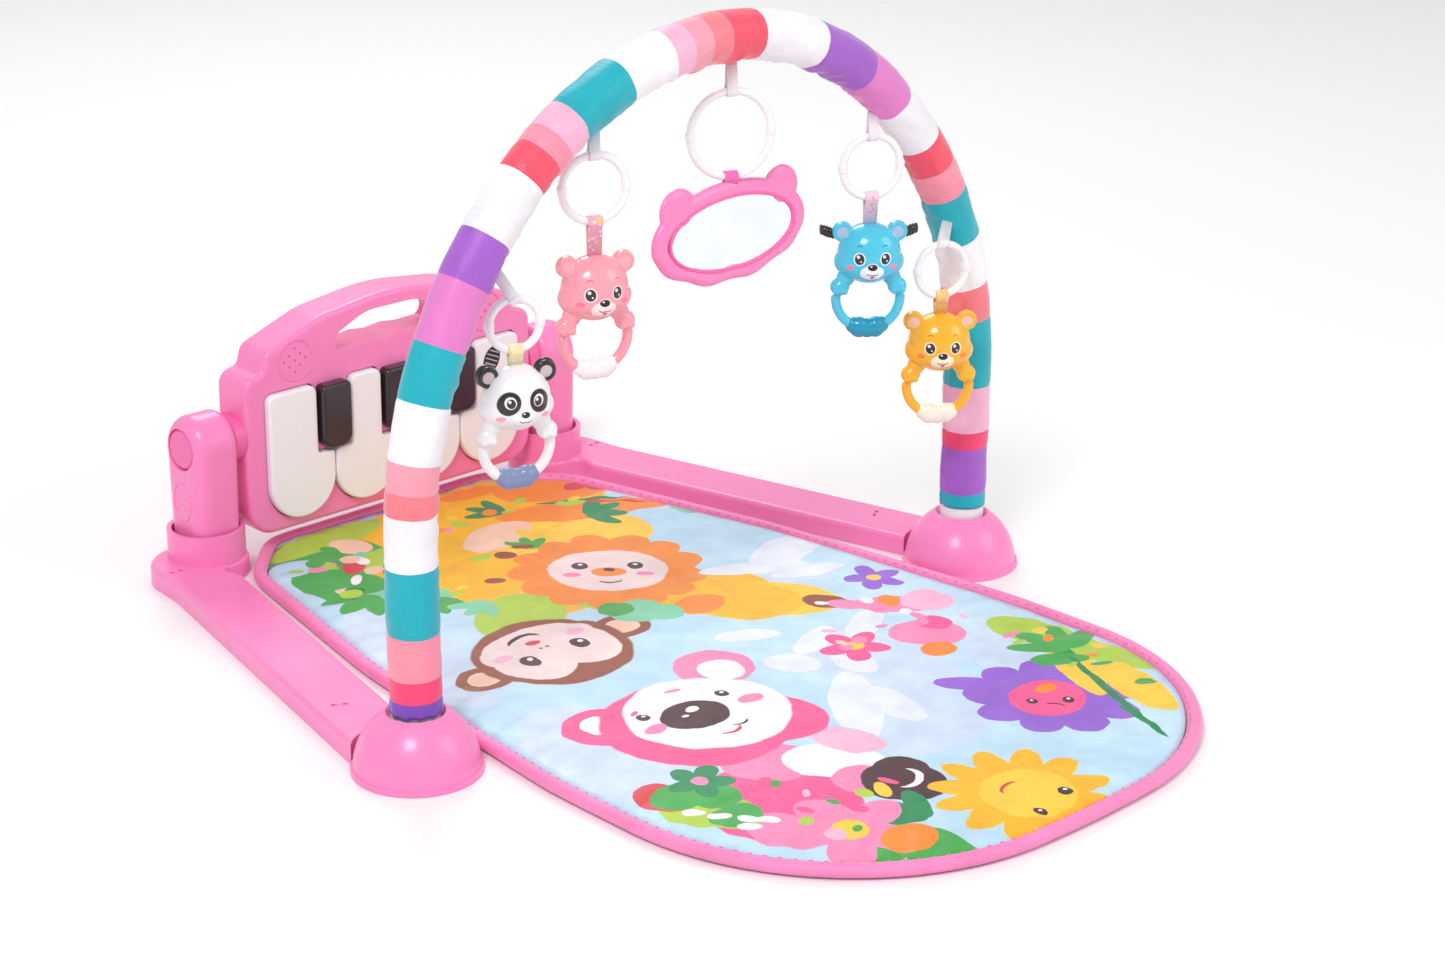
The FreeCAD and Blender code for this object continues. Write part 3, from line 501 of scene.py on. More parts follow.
def cover_hard_parts():
    """Give every carried-over CAD part its own moulded plastic, rubber or metal."""
    pink = ["piano_front_shell", "piano_back_shell", "battery_cover"]
    for side, word in SIDES:
        pink += [part + word for part in ("base_arm_", "dome_foot_", "post_")]
    steel = metal("zinc_steel", tone(190, 190, 196), 0.32)
    cover_cad(pink, pink_plastic)
    cover_cad(["lock_button_left", "lock_button_right", "tilt_trunnions"], pink_deep_plastic)
    cover_cad(["white_key_%d" % (i + 1) for i in range(4)], key_plastic)
    cover_cad(["black_keys", "power_switch"], black_plastic)
    cover_cad(["tube_cuffs", "arch_tube_left", "arch_tube_top", "arch_tube_right"], tube_plastic)
    cover_cad(["lock_springs", "post_screws", "shell_screws"], steel)
    for node, name, colour, rough, depth, coat in (
            ("circuit_board", "solder_mask", tone(30, 110, 60), 0.4, 0.1, 0.15),
            ("contact_strip", "contact_rubber", tone(70, 70, 74), 0.6, 0.03, 0.0),
            ("speaker_driver", "speaker_cone", tone(30, 30, 32), 0.6, 0.03, 0.0),
            ("batteries", "battery_wrap", tone(60, 60, 66), 0.3, 0.03, 0.15)):
        cover_cad([node], plastic(name, colour, rough, depth=depth, coat=coat))
    cover_cad(["mirror_plate"], mirror_film())


cover_hard_parts()


# Mat

def node_outline(node, height):
    """Points of a CAD slab's side wall at a given height, in order round it."""
    found = {}
    for vertex in NODES[node].data.vertices:
        if abs(vertex.co.z - height) < 0.0003:
            found[(round(vertex.co.x, 5), round(vertex.co.y, 5))] = vertex.co.copy()
    points = sorted(found.values(), key=lambda p: math.atan2(p.y, p.x))
    return [Vector((p.x, p.y, 0)) for p in points]


def even_loop(points, count):
    """A closed loop of points at even steps, then rounded a little."""
    lengths = [0.0]
    for i, point in enumerate(points):
        lengths.append(lengths[-1] + (points[(i + 1) % len(points)] - point).length)
    loop = []
    k = 0
    for i in range(count):
        want = lengths[-1] * i / count
        while lengths[k + 1] < want:
            k += 1
        part = (want - lengths[k]) / (lengths[k + 1] - lengths[k])
        loop.append(points[k].lerp(points[(k + 1) % len(points)], part))
    for _ in range(4):
        loop = [(loop[i - 1] + loop[i] * 2 + loop[(i + 1) % count]) / 4 for i in range(count)]
    return loop, lengths[-1]


MAT_AROUND = 420
MAT_RINGS = 74
MAT_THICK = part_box("mat_pad")[1].z
mat_edge, MAT_GIRTH = even_loop(node_outline("mat_pad", MAT_THICK - 0.002), MAT_AROUND)


def mat_height(point, inward, along):
    """Height of the quilted top: soft filling, seam puckers by the binding and stitched channels."""
    fill = 1 - math.exp(-inward / 0.012)
    swell = noise.noise(Vector((point.x * 11, point.y * 11, 0.3))) * 0.0013
    fine = noise.noise(Vector((point.x * 45, point.y * 45, 4.1))) * 0.00035
    pucker = math.sin(along * 2 * math.pi / 0.021 + 2.2 * noise.noise(Vector((along * 14, 0, 2.0))))
    ripple = pucker * 0.0011 * math.exp(-inward / 0.026) * (1 - math.exp(-inward / 0.004))
    channel = 0.0
    for line in (-0.19, -0.06, 0.07, 0.2):
        off = point.y - line - 0.006 * math.sin(point.x * 22)
        channel -= 0.0011 * math.exp(-(off / 0.0035) ** 2)
    return 0.0058 + 0.0028 * fill + swell + fine + ripple + channel * min(1.0, inward / 0.02)


def mat_mesh(backing):
    """Top and bottom of the mat as one closed skin, from its outline to a line down its middle."""
    points = []
    spine = [Vector((0, min(max(p.y * 0.72, -0.20), 0.24), 0)) for p in mat_edge]
    for ring in range(MAT_RINGS + 1):
        part = (ring / MAT_RINGS) ** 0.8 * 0.985
        for i, edge in enumerate(mat_edge):
            point = edge.lerp(spine[i], part)
            inward = (edge - spine[i]).length * part
            top = mat_height(point, inward, MAT_GIRTH * i / MAT_AROUND)
            points.append(Vector((point.x, point.y, top)))
    faces = ring_faces(MAT_RINGS + 1, MAT_AROUND)
    tip = min(range(MAT_AROUND), key=lambda i: mat_edge[i].y)
    faces += closing_strip(MAT_RINGS * MAT_AROUND, tip)
    under = len(points)
    below = [(0.0, 0.0012), (0.03, 0.0002), (0.98, 0.0002)]
    for part, height in below:
        for i, edge in enumerate(mat_edge):
            point = edge.lerp(spine[i], part)
            points.append(Vector((point.x, point.y, height)))
    for i in range(MAT_AROUND):
        after = (i + 1) % MAT_AROUND
        faces.append((i, under + i, under + after, after))
    bottom = ring_faces(len(below), MAT_AROUND, False, under) + closing_strip(under + 2 * MAT_AROUND, tip)
    faces += [tuple(reversed(face)) for face in bottom]
    piece = add_mesh("mat_quilt", points, faces, backing)
    cells = {}
    for polygon in piece.data.polygons:
        if max(polygon.vertices) >= under:
            continue
        cell = cell_of(polygon.center.x, polygon.center.y)
        polygon.material_index = cells.setdefault(cell, len(cells) + 1)
    shapes = mat_print()
    for cell in cells:
        piece.data.materials.append(mat_material(cell, shapes))
    fix_normals(piece)
    return piece


def closing_strip(start, tip):
    """Close the long thin loop left down the mat's middle with quads from side to side."""
    loop = [start + (tip + i) % MAT_AROUND for i in range(MAT_AROUND)]
    faces = []
    for i in range(MAT_AROUND // 2 - 1):
        faces.append((loop[i], loop[i + 1], loop[-2 - i], loop[-1 - i]))
    return faces


def fix_normals(piece):
    work = bmesh.new()
    work.from_mesh(piece.data)
    bmesh.ops.remove_doubles(work, verts=work.verts, dist=0.00002)
    bmesh.ops.recalc_face_normals(work, faces=work.faces)
    work.to_mesh(piece.data)
    work.free()


SKY = tone(186, 222, 244)
CLOUD = tone(233, 238, 250)
MIST = tone(206, 224, 247)
SUN = tone(251, 188, 22)
GOLD = tone(254, 208, 60)
ORANGE = tone(250, 142, 42)
PEACH = tone(250, 205, 180)
SKIN = tone(247, 222, 220)
GREEN = tone(66, 172, 76)
LIME = tone(178, 212, 66)
MINT = tone(130, 212, 170)
LEAF = tone(28, 140, 84)
BROWN = tone(150, 74, 46)
DARK = tone(72, 30, 40)
HOT = tone(250, 88, 150)
ROSE = tone(252, 140, 186)
BLUSH = tone(252, 186, 214)
VIOLET = tone(152, 98, 214)
RED = tone(222, 62, 76)
SNOW = tone(252, 246, 250)


def ring_of(x, y, out, count, wide, deep, ink, start=0.0):
    """Ellipses set round a centre, each pointing outward."""
    shapes = []
    for i in range(count):
        turn = start + 360 * i / count
        angle = math.radians(turn)
        shapes.append((x + out * math.cos(angle), y + out * math.sin(angle), wide, deep, turn, ink))
    return shapes


def flower(x, y, size, petals, heart, start=0.0):
    shapes = ring_of(x, y, size * 0.62, 5, size * 0.5, size * 0.36, petals, start)
    return shapes + [(x, y, size * 0.28, size * 0.28, 0, heart)]


def leaves(x, y, size, count, turn, ink):
    """A small fan of leaves."""
    shapes = []
    for i in range(count):
        lean = turn + (i - (count - 1) / 2) * 38
        angle = math.radians(lean)
        shapes.append((x + size * 0.7 * math.cos(angle), y + size * 0.7 * math.sin(angle),
                       size * 0.7, size * 0.27, lean, ink))
    return shapes


def smile(x, y, wide, turn, ink, back):
    """A crescent: an ink ellipse with the ground's own colour laid over its upper part."""
    angle = math.radians(turn)
    up = (x - math.sin(angle) * wide * 0.28, y + math.cos(angle) * wide * 0.28)
    return [(x, y, wide, wide * 0.62, turn, ink), (up[0], up[1], wide * 1.08, wide * 0.62, turn, back)]


def seen(x, y, turn):
    """Place a feature given in a face's own frame (right, up) on the mat."""
    angle = math.radians(turn)
    return lambda right, up: (x + right * math.cos(angle) - up * math.sin(angle),
                              y + right * math.sin(angle) + up * math.cos(angle))


def eye(spot, size, turn):
    x, y = spot
    return [(x, y, size, size * 1.15, turn, DARK),
            (x + size * 0.3, y + size * 0.3, size * 0.32, size * 0.32, 0, SNOW)]


def monkey(x, y, turn):
    spot = seen(x, y, turn)
    shapes = []
    for side in (-1, 1):
        ear = spot(side * 60, 2)
        shapes += [(*ear, 19, 18, turn, BROWN), (*ear, 12, 11, turn, PEACH)]
    shapes += [(x, y, 55, 51, turn, BROWN), (*spot(-19, 4), 27, 30, turn, SKIN),
               (*spot(19, 4), 27, 30, turn, SKIN), (*spot(0, -13), 45, 27, turn, SKIN)]
    for side in (-1, 1):
        shapes += eye(spot(side * 22, 2), 6.4, turn)
        shapes.append((*spot(side * 31, -12), 7, 4.5, turn, BLUSH))
    shapes += smile(*spot(0, -25), 13, turn, DARK, SKIN)
    shapes += [(*spot(0, -17), 5.5, 3.6, turn, RED), (*spot(-3, -7), 1.6, 1.2, turn, BROWN),
               (*spot(3, -7), 1.6, 1.2, turn, BROWN)]
    return shapes


def lion(x, y, turn, mane, skin, reach, wobble):
    """A round face in a ruffled mane."""
    spot = seen(x, y, turn)
    shapes = ring_of(x, y, reach * 0.84, 13, reach * 0.26, reach * 0.24, mane, wobble)
    shapes.append((x, y, reach * 0.9, reach * 0.88, turn, mane))
    shapes.append((x, y, reach * 0.66, reach * 0.6, turn, skin))
    for side in (-1, 1):
        shapes += eye(spot(side * reach * 0.3, reach * 0.12), reach * 0.09, turn)
        shapes.append((*spot(side * reach * 0.4, -reach * 0.12), reach * 0.1, reach * 0.06, turn, ROSE))
    shapes.append((*spot(0, -reach * 0.06), reach * 0.2, reach * 0.13, turn, mane))
    shapes.append((*spot(0, 0), reach * 0.07, reach * 0.05, turn, DARK))
    shapes += smile(*spot(0, -reach * 0.3), reach * 0.12, turn, DARK, skin)
    return shapes


def big_bear(x, y, turn):
    """A pale face low on a pink head, with a large dark nose."""
    spot = seen(x, y, turn)
    shapes = [(*spot(-52, 34), 27, 25, turn, HOT), (*spot(-52, 36), 12, 14, turn, SNOW),
              (*spot(60, 46), 27, 26, turn, ROSE), (*spot(60, 40), 15, 16, turn, SNOW),
              (*spot(-12, -4), 58, 60, turn, HOT), (*spot(22, -26), 44, 36, -50, HOT),
              (*spot(6, 2), 54, 52, turn, SNOW), (*spot(0, 26), 30, 26, turn + 30, SNOW)]
    shapes += [(*spot(-2, 4), 23, 19, turn - 12, DARK), (*spot(2, 10), 5, 3.5, turn, SNOW),
               (*spot(-8, 6), 2.4, 1.8, turn, SNOW)]
    for side in (-1, 1):
        shapes += eye(spot(side * 30 + 3, 19 - side * 6), 4.6, turn)
        shapes.append((*spot(side * 36 + 4, 2 - side * 6), 9, 5.5, turn, ROSE))
    shapes += smile(*spot(-2, -25), 8, turn, RED, SNOW) + smile(*spot(9, -22), 6, turn, DARK, SNOW)
    shapes += [(*spot(-26, 34), 5, 2.2, turn + 20, HOT), (*spot(14, 38), 6, 2.2, turn - 20, ROSE)]
    return shapes


def scatter(x, y, wide, deep, count, size, inks):
    """Small painted dabs strewn over part of the print."""
    shapes = []
    for _ in range(count):
        angle = random.uniform(0, 2 * math.pi)
        out = math.sqrt(random.random())
        dab = size * random.uniform(0.5, 1.0)
        shapes.append((x + wide * out * math.cos(angle), y + deep * out * math.sin(angle), dab,
                       dab * random.uniform(0.4, 0.9), random.uniform(0, 180), random.choice(inks)))
    return shapes


def print_ground():
    """Soft cloud shapes over the sky."""
    return [(100, 40, 60, 22, -30, MIST), (150, 60, 46, 18, 20, CLOUD), (60, -110, 40, 60, 10, MIST),
            (140, -150, 50, 26, 40, MIST), (-150, -110, 44, 90, 0, MIST), (20, -190, 60, 40, 20, MIST),
            (-150, 90, 30, 90, -10, MIST)]


def print_rear():
    """Sunny meadow with the lion and the monkey, at the key board's end."""
    shapes = [(30, 250, 118, 62, 4, SUN), (-30, 190, 66, 74, 20, SUN), (60, 178, 60, 40, -10, GOLD),
              (118, 262, 52, 30, -14, ORANGE), (100, 214, 66, 18, -24, ORANGE), (20, 214, 34, 18, 12, PEACH),
              (-14, 128, 60, 52, 24, SUN), (-60, 96, 40, 30, 30, LIME), (28, 60, 66, 26, -40, LIME),
              (-92, 262, 40, 46, 30, GREEN), (-112, 216, 26, 40, 12, GREEN), (-70, 292, 52, 18, 6, LIME),
              (-96, 172, 34, 18, -30, MINT), (-58, 232, 28, 20, -10, LIME), (-120, 262, 18, 14, 0, SKY),
              (-86, 238, 15, 8, 50, RED), (-66, 268, 12, 16, 20, PEACH), (-104, 250, 12, 7, 0, ROSE),
              (-70, 206, 26, 12, 70, LEAF), (8, 286, 10, 8, 0, ROSE), (60, 292, 26, 10, -8, ORANGE)]
    for fan in ((-108, 190, 26, 3, 200, GREEN), (-82, 160, 22, 3, 250, GREEN), (-60, 130, 20, 3, 200, MINT),
                (52, 246, 20, 3, 120, LEAF), (22, 182, 16, 3, 60, GREEN), (96, 206, 22, 4, -20, LEAF),
                (148, 168, 16, 3, 10, MINT)):
        shapes += leaves(*fan)
    shapes += [(130, 254, 13, 9, 20, RED), (140, 246, 8, 8, 0, RED), (112, 228, 36, 3, -26, LEAF),
               (124, 214, 40, 2.2, -34, RED), (60, 42, 46, 40, -30, SUN), (84, 4, 46, 30, -50, GOLD),
               (66, 16, 40, 34, -50, SUN), (40, 30, 20, 14, 0, ORANGE), (106, -22, 17, 12, -60, BROWN),
               (112, -34, 13, 8, -60, ROSE)]
    shapes += scatter(-92, 226, 34, 66, 16, 11, (GREEN, LEAF, LIME, PEACH, SNOW, MINT))
    shapes += scatter(40, 236, 84, 34, 14, 9, (ORANGE, GOLD, PEACH, ROSE, LIME))
    shapes += scatter(-10, 150, 56, 50, 10, 9, (GOLD, ORANGE, LIME, BROWN))
    shapes += lion(35, 115, -38, ORANGE, SKIN, 62, 6) + monkey(-82, 38, 182)
    return shapes + [(2, 50, 20, 18, 0, MINT), (14, 36, 13, 13, 0, MINT), (-6, 62, 13, 12, 0, GREEN)]


def print_middle():
    """Clouds and loose flowers, then the big bear among its petals."""
    shapes = [(x, y, wide, deep, turn, CLOUD) for x, y, wide, deep, turn in (
        (28, -28, 22, 9, -30), (54, -62, 26, 10, 20), (18, -78, 13, 20, 30), (48, -104, 12, 20, -10),
        (96, -66, 30, 11, 30), (0, -150, 16, 52, -40), (20, -162, 14, 30, -10), (112, 52, 40, 10, -30),
        (136, 24, 28, 8, -20))]
    shapes += flower(66, -86, 22, HOT, GOLD, 20) + flower(160, -16, 19, VIOLET, GOLD, 0)
    shapes += [(140, -58, 34, 14, -40, ROSE), (158, -66, 18, 18, 0, BLUSH), (138, -48, 9, 9, 0, ORANGE),
               (116, -104, 26, 22, -50, ROSE), (132, -94, 12, 12, 0, HOT), (100, -128, 13, 11, 0, ORANGE),
               (-128, -210, 50, 50, 20, HOT), (-104, -196, 40, 34, 0, HOT), (-96, -170, 30, 24, -30, ROSE),
               (-66, -196, 32, 22, -50, SNOW), (-40, -180, 16, 26, 20, BLUSH), (-72, -222, 18, 15, 0, ROSE)]
    shapes += big_bear(-80, -98, 4)
    return shapes + [(-56, -242, 24, 26, 20, DARK), (-46, -230, 18, 16, 0, DARK),
                     (-52, -240, 12, 9, 30, SNOW), (-55, -236, 12, 9, 30, DARK), (-72, -240, 9, 5, 70, GOLD)]


def print_front():
    """Violet flower face, sun face and the gardens along the round end."""
    shapes = ring_of(98, -224, 38, 9, 17, 15, VIOLET, 10)
    shapes += [(98, -224, 34, 32, 0, VIOLET), (74, -176, 9, 22, 40, VIOLET), (94, -224, 27, 24, 20, HOT),
               (104, -214, 8, 6, 0, ORANGE)]
    shapes += eye((84, -220), 3.6, 0) + eye((102, -234), 3.6, 0) + smile(90, -234, 6, 130, DARK, HOT)
    shapes += [(150, -196, 56, 14, 60, GOLD), (170, -150, 20, 36, 10, LIME), (176, -200, 16, 40, 8, LIME),
               (150, -250, 16, 40, -20, GOLD), (158, -176, 8, 22, -10, LEAF), (146, -190, 9, 20, 60, GREEN)]
    shapes += leaves(164, -184, 30, 4, 80, GREEN)
    shapes += [(134, -236, 3, 52, -24, LEAF), (112, -284, 3, 24, -14, LEAF)]
    shapes += ring_of(-16, -298, 36, 12, 20, 10, SUN, 8)
    shapes += [(-16, -298, 40, 38, 0, SUN), (-14, -300, 30, 28, 0, GOLD)]
    shapes += eye((4, -312), 4.2, 0) + eye((-24, -318), 4.2, 0) + smile(-18, -290, 9, 200, RED, GOLD)
    shapes += leaves(-92, -286, 40, 4, 210, GREEN) + leaves(-80, -282, 26, 3, 100, LEAF)
    shapes += flower(-122, -262, 40, ROSE, GOLD, 10)
    shapes += [(-104, -290, 18, 14, 0, ORANGE), (-150, -236, 20, 22, 0, ROSE), (-164, -190, 22, 34, 20, LIME),
               (-172, -160, 16, 20, 0, RED), (-164, -166, 20, 16, 0, GREEN), (-150, -176, 16, 20, 30, GREEN),
               (-158, -206, 18, 14, 0, GREEN)]
    return shapes + flower(-142, -160, 19, LEAF, ROSE, 30)


def mat_print():
    """The print, from the ground colours up: own generic animals, flowers, leaves and clouds."""
    shapes = print_ground() + print_rear() + print_middle() + print_front()
    shapes += scatter(110, -74, 52, 60, 14, 7, (SNOW, ROSE, PEACH, BLUSH, CLOUD))
    shapes += scatter(158, -196, 26, 60, 12, 8, (GOLD, LIME, ORANGE, GREEN, ROSE))
    shapes += scatter(-112, -232, 50, 46, 12, 7, (ROSE, BLUSH, HOT, LIME, GREEN))
    for x, y in ((-166, -200), (-156, -214), (-172, -186), (-148, -222), (-162, -222)):
        shapes.append((x, y, 4.5, 7, 40, SNOW))
    return shapes


# The print is split over square cells, because one material can't hold all of its shapes.
CELL = 0.056
CELL_MARGIN = 6.0
# How far, in metres, the edges of the printed shapes waver.
PRINT_WAVER = 0.009


def cell_of(x, y):
    return (math.floor(x / CELL), math.floor(y / CELL))


def reaches(shape, cell):
    """Whether a printed shape's box, with a margin for its wavy edge, touches a cell of the mat."""
    x, y, wide, deep, turn = shape[:5]
    lean = math.radians(turn)
    across = math.hypot(wide * math.cos(lean), deep * math.sin(lean)) + CELL_MARGIN
    along = math.hypot(wide * math.sin(lean), deep * math.cos(lean)) + CELL_MARGIN
    low_x, low_y = cell[0] * CELL / MM, cell[1] * CELL / MM
    high_x, high_y = low_x + CELL / MM, low_y + CELL / MM
    return low_x - across < x < high_x + across and low_y - along < y < high_y + along


def mat_material(cell, shapes):
    """The printed quilt of one cell of the mat: only the shapes that reach it are laid."""
    material, nodes, shader = new_material("mat_print_%d_%d" % cell)
    place = nodes.place()
    flat = nodes.vector("MULTIPLY", place, (1.0, 1.0, 0.0)).outputs[0]
    waver = nodes.noise(flat, 26.0, 4.0, 0.55).node
    centred = nodes.vector("SUBTRACT", waver.outputs["Color"], (0.5, 0.5, 0.5)).outputs[0]
    moved = nodes.vector("MULTIPLY_ADD", centred, (PRINT_WAVER, PRINT_WAVER, 0.0), flat).outputs[0]
    haze = nodes.ramp(nodes.noise(flat, 9.0, 3.0), 0.35, 0.65)
    ground = nodes.mix(haze, SKY, tone(200, 230, 248))
    ink = printed(nodes, BLOB, ground, moved, [shape for shape in shapes if reaches(shape, cell)])
    wash = nodes.ramp(nodes.noise(flat, 38.0, 3.0, 0.6), 0.3, 0.7, 0.88, 1.06)
    nodes.join(nodes.mix(1.0, ink, wash, "MULTIPLY"), shader.inputs["Base Color"])
    nodes.join(nodes.ramp(nodes.noise(place, 60.0), 0.3, 0.7, 0.42, 0.56), shader.inputs["Roughness"])
    finish_with(shader, sheen_weight=0.15, sheen_roughness=0.4)
    threads = cloth_height(nodes, place, 0.0005)
    crease = nodes.noise(place, 70.0, 3.0, 0.6)
    height = nodes.math("ADD", nodes.math("MULTIPLY", threads, 0.12), nodes.math("MULTIPLY", crease, 3.0))
    bump(nodes, shader, height, 0.3, 0.0005)
    return material


def make_mat():
    backing = fabric("mat_backing", tone(238, 236, 236), 0.0007)
    quilt = mat_mesh(backing)
    settle(quilt, "base", "mat_fabric", "mat_pad")
    make_binding()


def make_binding():
    """Rolled binding round the mat, flattened on the floor, with a stitched inner line."""
    low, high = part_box("mat_binding")
    middle = (low.z + high.z) / 2
    radius = (high.z - low.z) / 2
    tape = fabric("binding_tape", tone(250, 138, 194), 0.0005, sheen=0.25, rough=0.5)
    around = 20
    count = MAT_AROUND * 2
    loop = even_loop(mat_edge, count)[0]
    points = []
    for i in range(count):
        here = loop[i]
        along = (loop[(i + 1) % count] - loop[i - 1]).normalized()
        out = Vector((along.y, -along.x, 0))
        centre = here + out * 0.0056
        for k in range(around):
            angle = 2 * math.pi * k / around
            side = math.cos(angle)
            lift = math.sin(angle)
            wrinkle = 1 + 0.035 * noise.noise(Vector((here.x * 120, here.y * 120, angle)))
            stitch = 1 - 0.1 * math.exp(-((angle - 2.3) / 0.22) ** 2)
            size = radius * wrinkle * stitch
            point = centre + out * side * size * 1.05 + Vector((0, 0, middle - 0.0003 + lift * size * 0.96))
            point.z = max(point.z, 0.0006)
            points.append(point)
    piece = add_mesh("mat_roll", points, ring_faces(count, around, True), tape)
    fix_normals(piece)
    settle(piece, "base", "binding_fabric", "mat_binding")
    make_binding_stitches(loop, count)


def make_binding_stitches(loop, count):
    """Running stitches through the binding, each a short raised thread."""
    thread = fabric("stitch_thread", tone(246, 120, 180), 0.0003)
    points = []
    faces = []
    for i in range(0, count, 4):
        along = (loop[(i + 1) % count] - loop[i - 1]).normalized()
        out = Vector((along.y, -along.x, 0))
        centre = loop[i] + out * 0.0024 + Vector((0, 0, 0.0083))
        ball, skin = ball_points(ORIGIN, 0.0015, 0.00035, 0.00035, 8, 6)
        turn = Matrix(((along.x, out.x, 0), (along.y, out.y, 0), (0, 0, 1)))
        shift = len(points)
        points += [centre + turn @ p for p in ball]
        faces += [tuple(k + shift for k in face) for face in skin]
    piece = add_mesh("binding_stitches", points, faces, thread)
    settle(piece, "base", "binding_fabric")


# Arch sleeve

# The arch's middle line, in metres: two upright legs, an arc on each side and a rounder arc over the top.
sleeve_low, sleeve_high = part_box("arch_sleeve")
FOOT = (sleeve_high.x - sleeve_low.x) / 2 - 0.016
ARCH_LINE = (sleeve_low.y + sleeve_high.y) / 2
KNEE = 0.1437
SIDE_ARC = 0.2683
TOP_ARC = 0.2243
SIDE_TURN = math.radians(50)
CROWN = KNEE + (SIDE_ARC - TOP_ARC) * math.sin(SIDE_TURN)
SLEEVE_START = 0.038
LEG = KNEE - SLEEVE_START
SIDE_RUN = SIDE_ARC * SIDE_TURN
TOP_RUN = TOP_ARC * (math.pi - 2 * SIDE_TURN)
FULL_RUN = 2 * LEG + 2 * SIDE_RUN + TOP_RUN
SLEEVE_END = FULL_RUN - 0.006


def arch_point(run):
    """Point on the arch's middle line and its outward direction, for a run from the left socket's mouth."""
    if run > FULL_RUN / 2:
        point, out = arch_point(FULL_RUN - run)
        return Vector((-point.x, point.y, point.z)), Vector((-out.x, out.y, out.z))
    if run < LEG:
        return Vector((-FOOT, ARCH_LINE, SLEEVE_START + run)), Vector((-1, 0, 0))
    if run < LEG + SIDE_RUN:
        angle = (run - LEG) / SIDE_ARC
        out = Vector((-math.cos(angle), 0, math.sin(angle)))
        return Vector((SIDE_ARC - FOOT, ARCH_LINE, KNEE)) + out * SIDE_ARC, out
    angle = SIDE_TURN + (run - LEG - SIDE_RUN) / TOP_ARC
    out = Vector((-math.cos(angle), 0, math.sin(angle)))
    return Vector((0, ARCH_LINE, CROWN)) + out * TOP_ARC, out


BAND_TONES = {
    "violet": tone(120, 68, 182), "hot": tone(252, 66, 118), "salmon": tone(255, 146, 168),
    "teal": tone(0, 174, 190), "white": tone(246, 243, 248), "coral": tone(250, 128, 140),
    "rose": tone(253, 160, 178), "orchid": tone(228, 124, 200), "purple": tone(165, 92, 202),
    "red": tone(247, 78, 104), "blush": tone(253, 184, 214),
}
# Each band's colour and its length along the arch in millimetres, from the left foot to the right.
BANDS = (
    ("violet", 9), ("hot", 14), ("salmon", 27), ("teal", 41), ("white", 32), ("coral", 14), ("rose", 17),
    ("white", 34), ("teal", 33), ("orchid", 38), ("purple", 29), ("white", 39), ("red", 18), ("salmon", 12),
    ("blush", 17), ("teal", 41), ("white", 36), ("blush", 15), ("rose", 15), ("coral", 16), ("red", 28),
    ("white", 55), ("purple", 48), ("orchid", 40), ("white", 39), ("red", 24), ("salmon", 24), ("teal", 37),
    ("white", 35), ("coral", 25), ("teal", 48), ("blush", 32), ("hot", 12), ("purple", 33), ("teal", 30),
)
SLEEVE_AROUND = 56
SLEEVE_STEP = 0.0023


def sleeve_radius(run, angle, pinch, calm):
    """Radius of the cloth: gathered inside the bend, nipped at the band seams and down the back seam."""
    inner = max(0.0, -math.cos(angle)) * calm
    bend = 1.0 if LEG < run < FULL_RUN - LEG else 0.25
    fold = noise.noise(Vector((run * 170, math.sin(angle) * 1.4, math.cos(angle) * 1.4)))
    slack = noise.noise(Vector((run * 38, math.sin(angle) * 1.1, 7.0 + math.cos(angle))))
    seam = math.exp(-((angle - math.pi + 0.35) / 0.07) ** 2)
    ripple = noise.noise(Vector((run * 90, math.sin(angle + 0.6) * 2.2, 3.0 + math.cos(angle + 0.6) * 2.2)))
    radius = 0.0157 + bend * inner * (0.0015 * fold + 0.0006 * ripple) + 0.0008 * slack + 0.0004 * ripple
    radius -= 0.0004 * pinch + 0.0008 * seam
    flare = math.exp(-run / 0.0035)
    return radius + flare * (0.0001 + 0.0007 * math.sin(angle * 11 + 1.0))


SLEEVE_CLOTH = 0.0006
# The cloth lies smoother and closer where the blue bear's ring swings up beside the bend.
CALM_DEPTH = 0.85
CALM_REACH = 0.025
CALM_NIP = 0.0005


def make_sleeve():
    """Sewn cloth tube in coloured bands: an outer and an inner side joined at a hem at each end."""
    ring_run = nearest_run(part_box("blue_bear_ring")[1].x)
    names = list(BAND_TONES)
    covers = [fabric("sleeve_" + name, BAND_TONES[name], 0.0005, sheen=0.3, rough=0.46) for name in names]
    runs = [0.0]
    marks = []
    start = 0.0
    seams = []
    for colour, length in BANDS:
        end = min(start + length * MM, SLEEVE_END)
        steps = max(1, round((end - start) / SLEEVE_STEP))
        for i in range(steps):
            runs.append(start + (end - start) * (i + 1) / steps)
            marks.append(names.index(colour))
        seams.append(end)
        start = end
    points = []
    for inside in (0.0, SLEEVE_CLOTH):
        for run in runs if not inside else reversed(runs):
            centre, out = arch_point(run)
            pinch = max(math.exp(-((run - seam) / 0.0009) ** 2) for seam in seams[:-1])
            calm = 1 - CALM_DEPTH * math.exp(-((run - ring_run) / CALM_REACH) ** 2)
            for k in range(SLEEVE_AROUND):
                angle = 2 * math.pi * k / SLEEVE_AROUND
                size = sleeve_radius(run, angle, pinch, calm) - inside - (1 - calm) * CALM_NIP
                points.append(centre + (out * math.cos(angle) + Y_AXIS * math.sin(angle)) * size)
    marks = marks + [marks[-1]] + list(reversed(marks)) + [marks[0]]
    piece = add_mesh("sleeve_cloth", points, ring_faces(len(marks), SLEEVE_AROUND, True), covers)
    for polygon in piece.data.polygons:
        polygon.material_index = marks[polygon.index // SLEEVE_AROUND]
    fix_normals(piece)
    settle(piece, "base", "sleeve_fabric", "arch_sleeve")


# Ribbons, rings and toys

RING_FACING = math.radians(-22)
